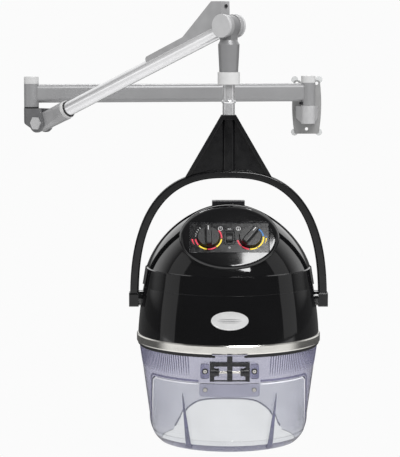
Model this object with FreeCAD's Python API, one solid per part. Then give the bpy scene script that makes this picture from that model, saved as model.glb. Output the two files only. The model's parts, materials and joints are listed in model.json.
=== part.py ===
"""Wall-mounted hood hair dryer: wall bracket, folding arm with a sprung lift arm, yoke and tilting hood.

Frame: origin at the centre of the wall plate's back face, +Y into the wall, +Z up, millimetres.
"""

import FreeCAD
import Part
import math
import os

V = FreeCAD.Vector
UP = V(0, 0, 1)

# Driving dimensions -------------------------------------------------------------------------------

RUN_GAP = 0.05          # radial clearance of every shaft that turns in a bush
FACE_GAP = 0.4          # clearance between faces that pass each other

# Wall plate
PLATE_T = 4.0
PLATE_HALF_W = 36.0
PLATE_TOP = 64.0
PLATE_BOTTOM = -70.0
WALL_HOLE_R = 4.0
UPPER_HOLE_X = 24.5
UPPER_HOLE_Z = 55.0
LOWER_HOLE_Z = -58.0

# Vertical hubs of the horizontal arm
WALL_AXIS = V(0, -62, 0)
ELBOW_AXIS = V(-667, -172, 0)
HUB_R = 17.5
HUB_Z0 = 3.0
HUB_Z1 = 58.0
CAP_TOP = 75.0
HUB_PIN_R = 8.0
HUB_BORE_R = 11.0
BUSH_L = 14.0

# Horizontal arm tube
ARM_H = 44.0
ARM_W = 24.0
ARM_Z = 34.5
ARM_WALL = 2.5

# Head position: vertical axis of the drop tube, spindle and hood
HEAD_AXIS = V(-202, -550, 0)
HEAD_PIVOT_Z = 192.0

# Elbow knuckle
KNUCKLE_OUT = 32.0      # pivot's distance ahead of the elbow axis
KNUCKLE_Z = -35.0
FORK_HALF = 18.0
SLOT_HALF = 12.4
SOCKET_HALF = 12.0
PIVOT_PIN_R = 6.0
CAP_R = 16.4
CAP_T = 4.0

# Lift arm
TUBE_R = 16.5
TUBE_WALL = 2.0
SOCKET_L = 86.0
SOCKET_R = 20.5
RING_R = 21.0
RING_L = 9.0
TUBE_START = 58.0
TUBE_END_GAP = 30.0     # from the end of the tube to the head pivot
ROD_OFFSET = 12.0       # tension rod's anchor above the pivot
ROD_R = 3.5

# Head knuckle
CHEEK_R = 25.0
CHEEK_IN = 11.3
CHEEK_OUT = 22.0
DISC_R = 25.5
DISC_OUT = 28.3
TONGUE_HALF = 10.9
TONGUE_R = 23.5
SPINE_HALF = 14.0

# Drop tube, collar and spindle
DROP_TOP_R = 23.5
DROP_BOTTOM_R = 20.5
DROP_SHOULDER_Z = 152.0
DROP_BOTTOM_Z = 70.0
COLLAR_TOP_Z = 92.0
COLLAR_Z = 65.0
COLLAR_R = 24.2
SPINDLE_R = 13.0
DROP_BORE_R = 16.0

# Yoke
BRACKET_TOP_Z = -1.0
BRACKET_HALF_TOP = 16.0
BRACKET_HALF_FOOT = 96.0
BRACKET_FOOT_Z = -139.0
ARCH_BASE_Z = -420.0
ARCH_OUT_A = 216.5
ARCH_OUT_B = 297.0
ARCH_IN_A = 198.0
ARCH_IN_B = 281.5
ARCH_POWER = 2.6
ARCH_HALF_DEPTH = 15.0
TILT_Z = -404.0
TILT_PIN_R = 8.0
BLOCK_HALF_DEPTH = 17.0

# Hood shells
SEAM_Z = -375.0
DOME_A = 186.5
DOME_B = 176.5
DOME_POWER = 1.8
REAR_STEP = 3.5         # how far the rear cover stands out over the front one
STEP_Z = -334.0
WALL = 3.0
SHELL_BOTTOM_Z = -478.0
SHELL_BOTTOM_R = 199.0
BAND_R = 202.0
BAND_BOTTOM_Z = -497.0
SEAL_BOTTOM_Z = -500.5
SPLIT_Y = 12.0          # plane between the front and rear covers, behind the hood axis

# Clear skirt and visor
NECK_R = 193.0
SKIRT_TOP_R = 195.3
SKIRT_MID_R = 174.0
SKIRT_MID_Z = -660.0
SKIRT_BOTTOM_R = 150.0
SKIRT_BOTTOM_Z = -716.0
VISOR_TOP_Z = -560.0
VISOR_GAP = 1.5
HINGE_Y = -201.0        # visor hinge axis, ahead of the hood axis
HINGE_Z = -534.0
HINGE_PIN_R = 3.0
SCREW_HEAD_R = 3.8

# Control pod and panel, in the panel's own plane
PANEL_FORWARD = 134.0
PANEL_Z = -255.0
PANEL_LEAN = math.radians(35.0)
POD_A = 107.0
POD_B = 80.0
POD_EDGE = 13.0         # rounding of the pod's rim
POD_BACK = V(0, 130, -16)
POD_FACE = 0.09         # thickness behind the pod's front, as a share of POD_BACK
PANEL_W = 170.0
PANEL_H = 74.0
KNOB_X = 44.5
KNOB_R = 24.0
SHAFT_R = 3.0
ROCKER_PIN_R = 1.2
ROCKER_PIN_Z = -7.0


# Shape helpers ------------------------------------------------------------------------------------

def cylinder(radius, length, base, axis=UP):
    return Part.makeCylinder(radius, length, base, axis)


def ring(outer, inner, length, base, axis=UP):
    return cylinder(outer, length, base, axis).cut(cylinder(inner, length, base, axis))


def box(x0, x1, y0, y1, z0, z1):
    return Part.makeBox(x1 - x0, y1 - y0, z1 - z0, V(x0, y0, z0))


def polygon(points):
    return Part.makePolygon(points + [points[0]])


def prism_xz(points, y0, y1):
    """Solid from an outline of (x, z) points, between two y values."""
    face = Part.Face(polygon([V(x, y0, z) for x, z in points]))
    return face.extrude(V(0, y1 - y0, 0))


def prism_xy(points, z0, z1):
    """Solid from an outline of (x, y) points, between two heights."""
    face = Part.Face(polygon([V(x, y, z0) for x, y in points]))
    return face.extrude(V(0, 0, z1 - z0))


def prism_yz(points, x0, x1):
    """Solid from an outline of (y, z) points, between two x values."""
    face = Part.Face(polygon([V(x0, y, z) for y, z in points]))
    return face.extrude(V(x1 - x0, 0, 0))


def turned(points):
    """Solid of revolution about Z from an outline of (radius, z) points."""
    face = Part.Face(polygon([V(r, 0, z) for r, z in points]))
    return face.revolve(V(0, 0, 0), UP, 360)


def turned_edges(edges):
    """Solid of revolution about Z from closed outline edges in the XZ plane."""
    face = Part.Face(Part.Wire(Part.__sortEdges__(edges)))
    return face.revolve(V(0, 0, 0), UP, 360)


def join(shapes):
    first, rest = shapes[0], shapes[1:]
    return first.fuse(rest).removeSplitter() if rest else first


def round_edges(shape, radius, chosen):
    """Round the edges for which chosen(edge) is true."""
    return shape.makeFillet(radius, [edge for edge in shape.Edges if chosen(edge)])


def along(edge, axis):
    """True for a straight edge that runs along axis."""
    if edge.Curve.TypeId != "Part::GeomLine":
        return False
    return abs(edge.tangentAt(edge.FirstParameter).dot(axis)) > 0.999


def frame_at(origin, x_axis):
    """Placement with local X along x_axis and local Y horizontal, so local Z points up or nearly so."""
    x = V(x_axis).normalize()
    y = UP.cross(x).normalize()
    z = x.cross(y)
    return FreeCAD.Placement(FreeCAD.Matrix(
        x.x, y.x, z.x, origin.x,
        x.y, y.y, z.y, origin.y,
        x.z, y.z, z.z, origin.z,
        0, 0, 0, 1))


def placed(shape, placement):
    moved = shape.copy()
    moved.Placement = placement.multiply(moved.Placement)
    return moved


def save(name, *solids):
    shape = solids[0] if len(solids) == 1 else Part.makeCompound(list(solids))
    count = len(shape.Solids)
    print(f"{name:20s} solids {count:3d}  valid {shape.isValid()}  volume {shape.Volume / 1000:9.2f} cm3")
    shape.exportStep(os.path.join("parts", name + ".step"))


# Local frames -------------------------------------------------------------------------------------

ARM_DIR = (ELBOW_AXIS - WALL_AXIS).normalize()
REACH_DIR = V(HEAD_AXIS.x - ELBOW_AXIS.x, HEAD_AXIS.y - ELBOW_AXIS.y, 0).normalize()
KNUCKLE = ELBOW_AXIS + REACH_DIR * KNUCKLE_OUT + V(0, 0, KNUCKLE_Z)
HEAD_PIVOT = HEAD_AXIS + V(0, 0, HEAD_PIVOT_Z)
LIFT_VEC = HEAD_PIVOT - KNUCKLE
LIFT_L = LIFT_VEC.Length

ARM_FRAME = frame_at(WALL_AXIS, ARM_DIR)
ELBOW_FRAME = frame_at(ELBOW_AXIS, REACH_DIR)
LIFT_FRAME = frame_at(KNUCKLE, LIFT_VEC)
HEAD_FRAME = frame_at(HEAD_PIVOT, REACH_DIR)
HOOD_FRAME = FreeCAD.Placement(HEAD_AXIS, FreeCAD.Rotation())
SIDE = V(0, 1, 0)


# Wall bracket -------------------------------------------------------------------------------------

def plate_blank(y0, y1):
    """Shield-shaped plate with bowed sides and two upper ears."""
    ear_z = PLATE_TOP - 2
    sides = [
        Part.LineSegment(V(-30, y0, PLATE_BOTTOM), V(30, y0, PLATE_BOTTOM)).toShape(),
        Part.Arc(V(30, y0, PLATE_BOTTOM), V(PLATE_HALF_W, y0, -5), V(32, y0, ear_z)).toShape(),
        Part.LineSegment(V(32, y0, ear_z), V(16, y0, ear_z)).toShape(),
        Part.Arc(V(16, y0, ear_z), V(0, y0, 48), V(-16, y0, ear_z)).toShape(),
        Part.LineSegment(V(-16, y0, ear_z), V(-32, y0, ear_z)).toShape(),
        Part.Arc(V(-32, y0, ear_z), V(-PLATE_HALF_W, y0, -5), V(-30, y0, PLATE_BOTTOM)).toShape(),
    ]
    blank = Part.Face(Part.Wire(sides)).extrude(V(0, y1 - y0, 0))
    return round_edges(blank, 5.0, lambda e: along(e, SIDE))


def make_wall_bracket():
    plate = plate_blank(-PLATE_T, 0)
    holes = [
        cylinder(WALL_HOLE_R, PLATE_T, V(x, -PLATE_T, z), SIDE)
        for x, z in ((-UPPER_HOLE_X, UPPER_HOLE_Z), (UPPER_HOLE_X, UPPER_HOLE_Z), (0, LOWER_HOLE_Z))
    ]
    save("wall_plate", plate.cut(holes))

    corner_r = 8.5
    corners = [(sx * 30.0, z) for sx in (-1, 1) for z in (PLATE_BOTTOM + 4, PLATE_TOP)]
    pads = [
        cylinder(corner_r, PLATE_T + 1.5, V(x, -PLATE_T - 1.5, z), SIDE).cut(plate_blank(-20, 20))
        for x, z in corners
    ]
    save("corner_pads", *pads)

    barrel_top = HUB_Z0 - FACE_GAP
    barrel = cylinder(17.0, barrel_top + 42, WALL_AXIS + V(0, 0, -42))
    web_plan = prism_xy([(-27, -PLATE_T), (27, -PLATE_T), (16.9, WALL_AXIS.y), (-16.9, WALL_AXIS.y)], -42, 1)
    web_front = prism_xz([(-27, -1), (27, -1), (27, -31), (16, -41), (-16, -41), (-27, -31)], -70, 0)
    pocket = prism_xy([(-20, 1), (20, 1), (12, -40), (-12, -40)], -50, 5)
    webs = web_plan.common(web_front).cut(pocket)
    bore = cylinder(HUB_PIN_R, 60, WALL_AXIS + V(0, 0, -38))
    save("wall_saddle", join([barrel, webs]).cut(bore).cut(plate))

    pin = cylinder(HUB_PIN_R, HUB_Z1 + 4 + 38, WALL_AXIS + V(0, 0, -38))
    head = cylinder(HUB_PIN_R + 2.5, 3.5, WALL_AXIS + V(0, 0, HUB_Z1 + FACE_GAP))
    save("wall_pin", join([pin, head]))


# Horizontal arm -----------------------------------------------------------------------------------

def rounded_bar(length, width, height, radius):
    """Bar along X, centred on Y and Z, with its long edges rounded."""
    bar = box(0, length, -width / 2, width / 2, -height / 2, height / 2)
    return round_edges(bar, radius, lambda e: along(e, V(1, 0, 0)))


def make_wall_arm():
    span = (ELBOW_AXIS - WALL_AXIS).Length
    hub_h = HUB_Z1 - HUB_Z0
    bar = rounded_bar(span, ARM_W, ARM_H, 10.5)
    hollow = rounded_bar(span, ARM_W - 2 * ARM_WALL, ARM_H - 2 * ARM_WALL, 8.0)
    tube = placed(bar.cut(hollow), ARM_FRAME)
    tube.translate(V(0, 0, ARM_Z))
    ends = [cylinder(HUB_R, 200, axis + V(0, 0, -100)) for axis in (WALL_AXIS, ELBOW_AXIS)]
    save("arm_tube", tube.cut(ends))

    screw_dir = V(-0.85, -0.527, 0).normalize()
    screw_at = WALL_AXIS + V(0, 0, HUB_Z0 + 5)
    shank = cylinder(2.5, HUB_R - HUB_BORE_R + 1, screw_at + screw_dir * HUB_BORE_R, screw_dir)
    wall_hub = ring(HUB_R, HUB_BORE_R, hub_h, WALL_AXIS + V(0, 0, HUB_Z0))
    save("wall_hub", wall_hub.cut(shank))
    save("elbow_hub", ring(HUB_R, HUB_BORE_R, hub_h, ELBOW_AXIS + V(0, 0, HUB_Z0)))
    screw_head = cylinder(3.5, 6, screw_at + screw_dir * (HUB_R + 0.4), screw_dir)
    save("hub_lock_screw", join([shank, screw_head]).cut(wall_hub.common(screw_head)))

    caps = []
    bushes = []
    for axis in (WALL_AXIS, ELBOW_AXIS):
        shell = cylinder(HUB_R, CAP_TOP - HUB_Z1, axis + V(0, 0, HUB_Z1))
        shell = round_edges(shell, 1.5, lambda e: e.BoundBox.ZMin > CAP_TOP - 0.1)
        inside = cylinder(HUB_R - 3, CAP_TOP - HUB_Z1 - 3, axis + V(0, 0, HUB_Z1))
        caps.append(shell.cut(inside))
        for z in (HUB_Z0, HUB_Z1 - BUSH_L):
            bushes.append(ring(HUB_BORE_R, HUB_PIN_R + RUN_GAP, BUSH_L, axis + V(0, 0, z)))
    save("hub_caps", *caps)
    save("hub_bushes", *bushes)


# Elbow knuckle ------------------------------------------------------------------------------------

def make_elbow():
    pivot = V(KNUCKLE_OUT, 0, KNUCKLE_Z)
    fork_top = -0.5
    side = prism_xz([(-FORK_HALF, fork_top), (44, fork_top), (53.5, -33), (32, -56), (12, -46),
                     (-9, -36), (-FORK_HALF, -20)], -FORK_HALF, FORK_HALF)
    boss = cylinder(22, 2 * FORK_HALF, pivot - V(0, FORK_HALF, 0), SIDE)
    plan = join([cylinder(FORK_HALF, 80, V(0, 0, -75)), box(0, 80, -FORK_HALF, FORK_HALF, -75, 5)])
    body = join([side, boss]).common(plan)
    slot = join([
        cylinder(21, 2 * SLOT_HALF, pivot - V(0, SLOT_HALF, 0), SIDE),
        box(20, 90, -SLOT_HALF, SLOT_HALF, -60, 5),
        box(KNUCKLE_OUT - 21, 90, -SLOT_HALF, SLOT_HALF, -80, KNUCKLE_Z),
    ])
    bores = [
        cylinder(PIVOT_PIN_R, 2 * FORK_HALF, pivot - V(0, FORK_HALF, 0), SIDE),
        cylinder(HUB_PIN_R, 30, V(0, 0, -12)),
    ]
    rod_anchor = rod_anchor_local()
    bores.append(cylinder(3.0, 2 * FORK_HALF, rod_anchor - V(0, FORK_HALF, 0), SIDE))
    save("elbow_fork", placed(body.cut(slot).cut(bores), ELBOW_FRAME))

    washer = ring(HUB_R, HUB_PIN_R, HUB_Z0 - FACE_GAP - fork_top, ELBOW_AXIS + V(0, 0, fork_top))
    save("elbow_washer", washer)
    spindle = cylinder(HUB_PIN_R, HUB_Z1 + 4 + 12, ELBOW_AXIS + V(0, 0, -12))
    head = cylinder(HUB_PIN_R + 2.5, 3.5, ELBOW_AXIS + V(0, 0, HUB_Z1 + FACE_GAP))
    save("elbow_spindle", join([spindle, head]))

    pin = cylinder(PIVOT_PIN_R, 2 * FORK_HALF, pivot - V(0, FORK_HALF, 0), SIDE)
    save("elbow_pin", placed(pin, ELBOW_FRAME))
    anchor = cylinder(3.0, 2 * FORK_HALF, rod_anchor - V(0, FORK_HALF, 0), SIDE)
    save("rod_anchor_pin", placed(anchor, ELBOW_FRAME))

    caps = []
    for base_y in (-FORK_HALF - CAP_T, FORK_HALF):
        corners = [
            (pivot.x + CAP_R * math.cos(math.radians(60 * k)), pivot.z + CAP_R * math.sin(math.radians(60 * k)))
            for k in range(6)
        ]
        caps.append(placed(prism_xz(corners, base_y, base_y + CAP_T), ELBOW_FRAME))
    save("elbow_caps", *caps)


def rod_anchor_local():
    """Tension rod's anchor in the elbow frame, square to the lift arm above its pivot."""
    rise = math.asin(LIFT_VEC.z / LIFT_L)
    return V(KNUCKLE_OUT - ROD_OFFSET * math.sin(rise), 0, KNUCKLE_Z + ROD_OFFSET * math.cos(rise))


# Lift arm -----------------------------------------------------------------------------------------

def chamfered_section(x, half_w, half_h, cut):
    """Closed eight-sided outline in the YZ plane at x."""
    y_in, z_in = half_w - cut, half_h - cut
    points = [(half_w, -z_in), (half_w, z_in), (y_in, half_h), (-y_in, half_h),
              (-half_w, z_in), (-half_w, -z_in), (-y_in, -half_h), (y_in, -half_h)]
    return polygon([V(x, y, z) for y, z in points])


def make_lift_arm():
    end = cylinder(20, 2 * SOCKET_HALF, V(0, -SOCKET_HALF, 0), SIDE)
    sections = [
        chamfered_section(0, SOCKET_HALF, 19.8, 3),
        chamfered_section(26, SOCKET_HALF, 19.8, 5),
        chamfered_section(SOCKET_L, SOCKET_R, SOCKET_R, 12),
    ]
    body = Part.makeLoft(sections, True, True)
    tube_bore = cylinder(TUBE_R, SOCKET_L, V(TUBE_START, 0, 0), V(1, 0, 0))
    cavity = box(-17, TUBE_START + 1, -6.5, 6.5, 4, 17.4)
    pin_bore = cylinder(PIVOT_PIN_R + RUN_GAP, 2 * SOCKET_HALF, V(0, -SOCKET_HALF, 0), SIDE)
    anchor_slot = ring(ROD_OFFSET + 3.6, ROD_OFFSET - 3.6, 2 * SOCKET_HALF, V(0, -SOCKET_HALF, 0), SIDE)
    anchor_slot = anchor_slot.common(box(-14, 9.5, -30, 30, 0, 30))
    socket = join([end, body]).cut([tube_bore, cavity, pin_bore, anchor_slot])
    save("arm_socket", placed(socket, LIFT_FRAME))

    collar = ring(RING_R, TUBE_R, RING_L, V(SOCKET_L, 0, 0), V(1, 0, 0))
    collar = round_edges(collar, 1.2, lambda e: e.Length > 6 * RING_R)
    save("socket_ring", placed(collar, LIFT_FRAME))
    tube_l = LIFT_L - TUBE_END_GAP - TUBE_START
    tube = ring(TUBE_R, TUBE_R - TUBE_WALL, tube_l, V(TUBE_START, 0, 0), V(1, 0, 0))
    save("lift_tube", placed(tube, LIFT_FRAME))
    save("balance_spring", placed(balance_spring(), LIFT_FRAME))

    save("head_casting", placed(head_casting(), LIFT_FRAME))
    head = V(LIFT_L, 0, 0)
    pin = cylinder(PIVOT_PIN_R, 2 * CHEEK_OUT, head - V(0, CHEEK_OUT, 0), SIDE)
    save("head_pin", placed(pin, LIFT_FRAME))
    discs = []
    for base_y in (-DISC_OUT, CHEEK_OUT):
        disc = cylinder(DISC_R, DISC_OUT - CHEEK_OUT, head + V(0, base_y, 0), SIDE)
        outer_y = -DISC_OUT if base_y < 0 else DISC_OUT
        disc = round_edges(disc, 1.0, lambda e: abs(e.BoundBox.Center.y - outer_y) < 0.1)
        discs.append(placed(disc, LIFT_FRAME))
    save("head_discs", *discs)

    screw_at = V(-8.6, 0, 43)
    shank = cylinder(2.5, 10, screw_at - V(10, 0, 0), V(1, 0, 0))
    cap = cylinder(4, 2.5, screw_at, V(1, 0, 0))
    save("tension_screw", placed(join([shank, cap]), HEAD_FRAME))


def head_casting():
    """Spine over the tube that rises into a horn and ends in two cheeks round the head pivot."""
    head = V(LIFT_L, 0, 0)
    outline = [(-239, 6), (-239, 17), (-235, 21), (-120, 22), (-16, 64), (11, 53), (1, 26), (1, 0), (-26, 0)]
    horn = prism_xz([(head.x + x, z) for x, z in outline], -SPINE_HALF, SPINE_HALF)
    cheeks = [
        cylinder(CHEEK_R, CHEEK_OUT - CHEEK_IN, head + V(0, y, 0), SIDE)
        for y in (-CHEEK_OUT, CHEEK_IN)
    ]
    tube = cylinder(TUBE_R, LIFT_L - TUBE_END_GAP, V(0, 0, 0), V(1, 0, 0))
    throat = cylinder(TONGUE_R + 1.2, 2 * CHEEK_IN, head - V(0, CHEEK_IN, 0), SIDE)
    bore = cylinder(PIVOT_PIN_R, 2 * CHEEK_OUT, head - V(0, CHEEK_OUT, 0), SIDE)
    screw = placed(cylinder(2.5, 12, V(-20, 0, 43), V(1, 0, 0)), HEAD_FRAME)
    screw = placed(screw, LIFT_FRAME.inverse())
    casting = join([horn, *cheeks])
    return casting.cut([tube, throat, bore, screw])


def balance_spring():
    """Strong compression spring inside the lift tube."""
    wire_r, mean_r, pitch, length = 2.0, 11.6, 9.5, 200.0
    helix = Part.makeHelix(pitch, length, mean_r)
    profile = Part.Wire(Part.Circle(V(mean_r, 0, 0), V(0, 1, 0), wire_r).toShape())
    coil = Part.Wire(helix).makePipeShell([profile], True, True)
    coil.rotate(V(0, 0, 0), V(0, 1, 0), 90)
    coil.translate(V(220, 0, 0))
    return coil


def make_tension_rod():
    anchor = V(0, 0, ROD_OFFSET)
    far = V(430, 0, 0)
    rod_dir = far - anchor
    eye = cylinder(5.0, 10, anchor - V(0, 5, 0), SIDE)
    rod = cylinder(ROD_R, rod_dir.Length, anchor, rod_dir)
    plate = cylinder(8.0, 4, far, V(1, 0, 0))
    bore = cylinder(3.0 + RUN_GAP, 10, anchor - V(0, 5, 0), SIDE)
    save("tension_rod", placed(join([eye, rod, plate]).cut(bore), LIFT_FRAME))


# Drop tube ----------------------------------------------------------------------------------------

def make_drop_head():
    shoulder = DROP_SHOULDER_Z
    neck_z = HEAD_PIVOT_Z - 30
    body = turned([(0, DROP_BOTTOM_Z), (DROP_BOTTOM_R, DROP_BOTTOM_Z), (DROP_BOTTOM_R, COLLAR_TOP_Z),
                   (DROP_TOP_R, shoulder), (18, neck_z), (0, neck_z)])
    body.rotate(V(0, 0, 0), UP, math.degrees(math.atan2(REACH_DIR.y, REACH_DIR.x)))
    body.translate(HEAD_AXIS)
    tongue = join([
        cylinder(TONGUE_R, 2 * TONGUE_HALF, V(0, -TONGUE_HALF, 0), SIDE),
        box(-16, 16, -TONGUE_HALF, TONGUE_HALF, -36, 0),
    ])
    bore = cylinder(PIVOT_PIN_R + RUN_GAP, 2 * TONGUE_HALF, V(0, -TONGUE_HALF, 0), SIDE)
    shaft_bore = cylinder(DROP_BORE_R, 90, HEAD_AXIS + V(0, 0, DROP_BOTTOM_Z))
    drop = join([body, placed(tongue, HEAD_FRAME)])
    save("drop_tube", drop.cut([placed(bore, HEAD_FRAME), shaft_bore]))

    lip_r = SPINDLE_R + 1.5
    collar = turned([(lip_r, COLLAR_Z), (COLLAR_R - 1, COLLAR_Z), (COLLAR_R, COLLAR_Z + 1),
                     (COLLAR_R, COLLAR_TOP_Z), (DROP_BOTTOM_R, COLLAR_TOP_Z), (DROP_BOTTOM_R, DROP_BOTTOM_Z),
                     (lip_r, DROP_BOTTOM_Z)])
    save("drop_collar", placed(collar, HOOD_FRAME))
    bushes = [
        ring(DROP_BORE_R, SPINDLE_R + RUN_GAP, BUSH_L, HEAD_AXIS + V(0, 0, z))
        for z in (DROP_BOTTOM_Z, 126)
    ]
    save("drop_bushes", *bushes)


# Yoke ---------------------------------------------------------------------------------------------

def superellipse(a, b, power, base_z, start, count):
    """Points of the upper quarter, from angle start up to the top, for x and z."""
    points = []
    for k in range(count + 1):
        angle = start + (math.pi / 2 - start) * k / count
        x = a * max(math.cos(angle), 0.0) ** (2 / power)
        z = base_z + b * max(math.sin(angle), 0.0) ** (2 / power)
        points.append((x, z))
    return points


def arch_edge(a, b, y):
    """Half outline of the arch from the right foot over the top to the left foot, as one curve."""
    right = superellipse(a, b, ARCH_POWER, ARCH_BASE_Z, 0.0, 12)
    left = [(-x, z) for x, z in reversed(right[:-1])]
    curve = Part.BSplineCurve()
    curve.interpolate([V(x, y, z) for x, z in right + left])
    return curve.toShape()


def arch_solid(y0, y1):
    outer = arch_edge(ARCH_OUT_A, ARCH_OUT_B, y0)
    inner = arch_edge(ARCH_IN_A, ARCH_IN_B, y0)
    right = Part.LineSegment(V(ARCH_OUT_A, y0, ARCH_BASE_Z), V(ARCH_IN_A, y0, ARCH_BASE_Z)).toShape()
    left = Part.LineSegment(V(-ARCH_OUT_A, y0, ARCH_BASE_Z), V(-ARCH_IN_A, y0, ARCH_BASE_Z)).toShape()
    face = Part.Face(Part.Wire(Part.__sortEdges__([outer, right, inner, left])))
    return face.extrude(V(0, y1 - y0, 0))


def make_yoke():
    spindle = turned([
        (0, -40), (10, -40), (10, BRACKET_TOP_Z), (SPINDLE_R + 0.4, BRACKET_TOP_Z), (SPINDLE_R + 0.4, 23),
        (SPINDLE_R - 1, 24), (SPINDLE_R + 1, 25), (SPINDLE_R + 1, 30), (SPINDLE_R - 1, 31),
        (SPINDLE_R, 32), (SPINDLE_R, 142), (DROP_BORE_R - 0.6, 142), (DROP_BORE_R - 0.6, 147), (0, 147)])
    save("spindle", placed(spindle, HOOD_FRAME))

    arch = arch_solid(-ARCH_HALF_DEPTH, ARCH_HALF_DEPTH)
    long_edges = [e for e in arch.Edges if e.Length > 500]
    arch = arch.makeFillet(3.5, long_edges)
    blocks = []
    for sx in (-1, 1):
        x0, x1 = sorted((sx * (ARCH_IN_A - 0.2), sx * (ARCH_OUT_A + 2)))
        block = box(x0, x1, -BLOCK_HALF_DEPTH, BLOCK_HALF_DEPTH, ARCH_BASE_Z - 2, TILT_Z + 13)
        blocks.append(round_edges(block, 4.0, lambda e: along(e, V(1, 0, 0))))
    pins = [cylinder(TILT_PIN_R, 50, V(x, 0, TILT_Z), V(1, 0, 0)) for x in (-222, 172)]
    save("yoke_arch", placed(join([arch, *blocks]).cut(pins), HOOD_FRAME))
    short_pins = [
        cylinder(TILT_PIN_R, 42, V(x, 0, TILT_Z), V(1, 0, 0))
        for x in (-ARCH_OUT_A - 1.5, ARCH_OUT_A + 1.5 - 42)
    ]
    save("tilt_pins", *[placed(pin, HOOD_FRAME) for pin in short_pins])

    outer = [(-BRACKET_HALF_TOP, BRACKET_TOP_Z), (BRACKET_HALF_TOP, BRACKET_TOP_Z),
             (BRACKET_HALF_FOOT, BRACKET_FOOT_Z), (BRACKET_HALF_FOOT - 6, -160), (6 - BRACKET_HALF_FOOT, -160),
             (-BRACKET_HALF_FOOT, BRACKET_FOOT_Z)]
    recess = [(-BRACKET_HALF_TOP + 4, BRACKET_TOP_Z - 10), (BRACKET_HALF_TOP - 4, BRACKET_TOP_Z - 10),
              (BRACKET_HALF_FOOT - 12, BRACKET_FOOT_Z + 6), (40, -122), (-40, -122),
              (12 - BRACKET_HALF_FOOT, BRACKET_FOOT_Z + 6)]
    web_half = 6.0
    frame = prism_xz(outer, -ARCH_HALF_DEPTH, ARCH_HALF_DEPTH)
    recesses = [prism_xz(recess, -30, -web_half), prism_xz(recess, web_half, 30)]
    core = cylinder(14.5, BRACKET_TOP_Z + 130, V(0, 0, -130))
    bracket = join([frame.cut(recesses), core])
    bore = cylinder(10, 60, V(0, 0, -40))
    below = box(-300, 300, -60, 60, -500, ARCH_BASE_Z + ARCH_IN_B)
    bracket = bracket.cut([arch_solid(-60, 60), below, bore])
    largest = max(bracket.Solids, key=lambda s: s.Volume)
    save("yoke_bracket", placed(largest, HOOD_FRAME))


# Hood shells --------------------------------------------------------------------------------------

def dome_solid(grow):
    """Solid dome above the seam, with its stepped skirt, grown outwards by grow."""
    a = DOME_A - 2.0 + grow
    b = DOME_B + grow
    start = math.asin(((STEP_Z - SEAM_Z) / b) ** (DOME_POWER / 2))
    points = superellipse(a, b, DOME_POWER, SEAM_Z, start, 12)
    curve = Part.BSplineCurve()
    curve.interpolate([V(x, 0, z) for x, z in points])
    foot_x = points[0][0]
    top_z = points[-1][1]
    outline = [V(0, 0, top_z), V(0, 0, SEAM_Z), V(DOME_A + grow, 0, SEAM_Z),
               V(foot_x + 3.0, 0, STEP_Z - 1.5), V(foot_x, 0, STEP_Z)]
    edges = [Part.LineSegment(p, q).toShape() for p, q in zip(outline, outline[1:])]
    return turned_edges(edges + [curve.toShape()])


def lower_solid(grow):
    """Solid barrel between the seam and the bright band."""
    points = [(DOME_A, SEAM_Z), (195.0, -430.0), (SHELL_BOTTOM_R, SHELL_BOTTOM_Z)]
    wall = [V(r + grow, 0, z) for r, z in points]
    edges = [
        Part.LineSegment(V(0, 0, SEAM_Z), wall[0]).toShape(),
        Part.Arc(*wall).toShape(),
        Part.LineSegment(wall[2], V(0, 0, SHELL_BOTTOM_Z)).toShape(),
        Part.LineSegment(V(0, 0, SHELL_BOTTOM_Z), V(0, 0, SEAM_Z)).toShape(),
    ]
    return turned_edges(edges)


def panel_frame(depth=0.0):
    """Frame on the panel: local X right, local Y up the panel, local Z out along its normal."""
    normal = V(0, -math.cos(PANEL_LEAN), math.sin(PANEL_LEAN))
    up = V(0, math.sin(PANEL_LEAN), math.cos(PANEL_LEAN))
    at = HEAD_AXIS + V(0, -PANEL_FORWARD, PANEL_Z) - normal * depth
    return FreeCAD.Placement(FreeCAD.Matrix(
        1, up.x, normal.x, at.x,
        0, up.y, normal.y, at.y,
        0, up.z, normal.z, at.z,
        0, 0, 0, 1))


def pod_section(inset, back):
    """Oval of the pod, drawn in by inset, a fraction back of its way into the dome."""
    ellipse = Part.Wire(Part.Ellipse(V(0, 0, 0), POD_A - inset, POD_B - inset).toShape())
    section = placed(ellipse, panel_frame())
    section.translate(POD_BACK * back)
    return section


def pod_solid(inset, start):
    """Oval pod with a flat front, running back almost level into the dome."""
    return Part.Face(pod_section(inset, start)).extrude(POD_BACK * (1 - start))


def rounded_pod():
    """The pod's outer shape, with a rounded rim at its front."""
    steps = 5
    reach = POD_EDGE / (0.88 * POD_BACK.Length)
    sections = []
    for k in range(steps + 1):
        turn = math.pi / 2 * k / steps
        sections.append(pod_section(POD_EDGE * (1 - math.sin(turn)), reach * (1 - math.cos(turn))))
    nose = Part.makeLoft(sections, True, False)
    return join([nose, pod_solid(0, reach)])


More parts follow.
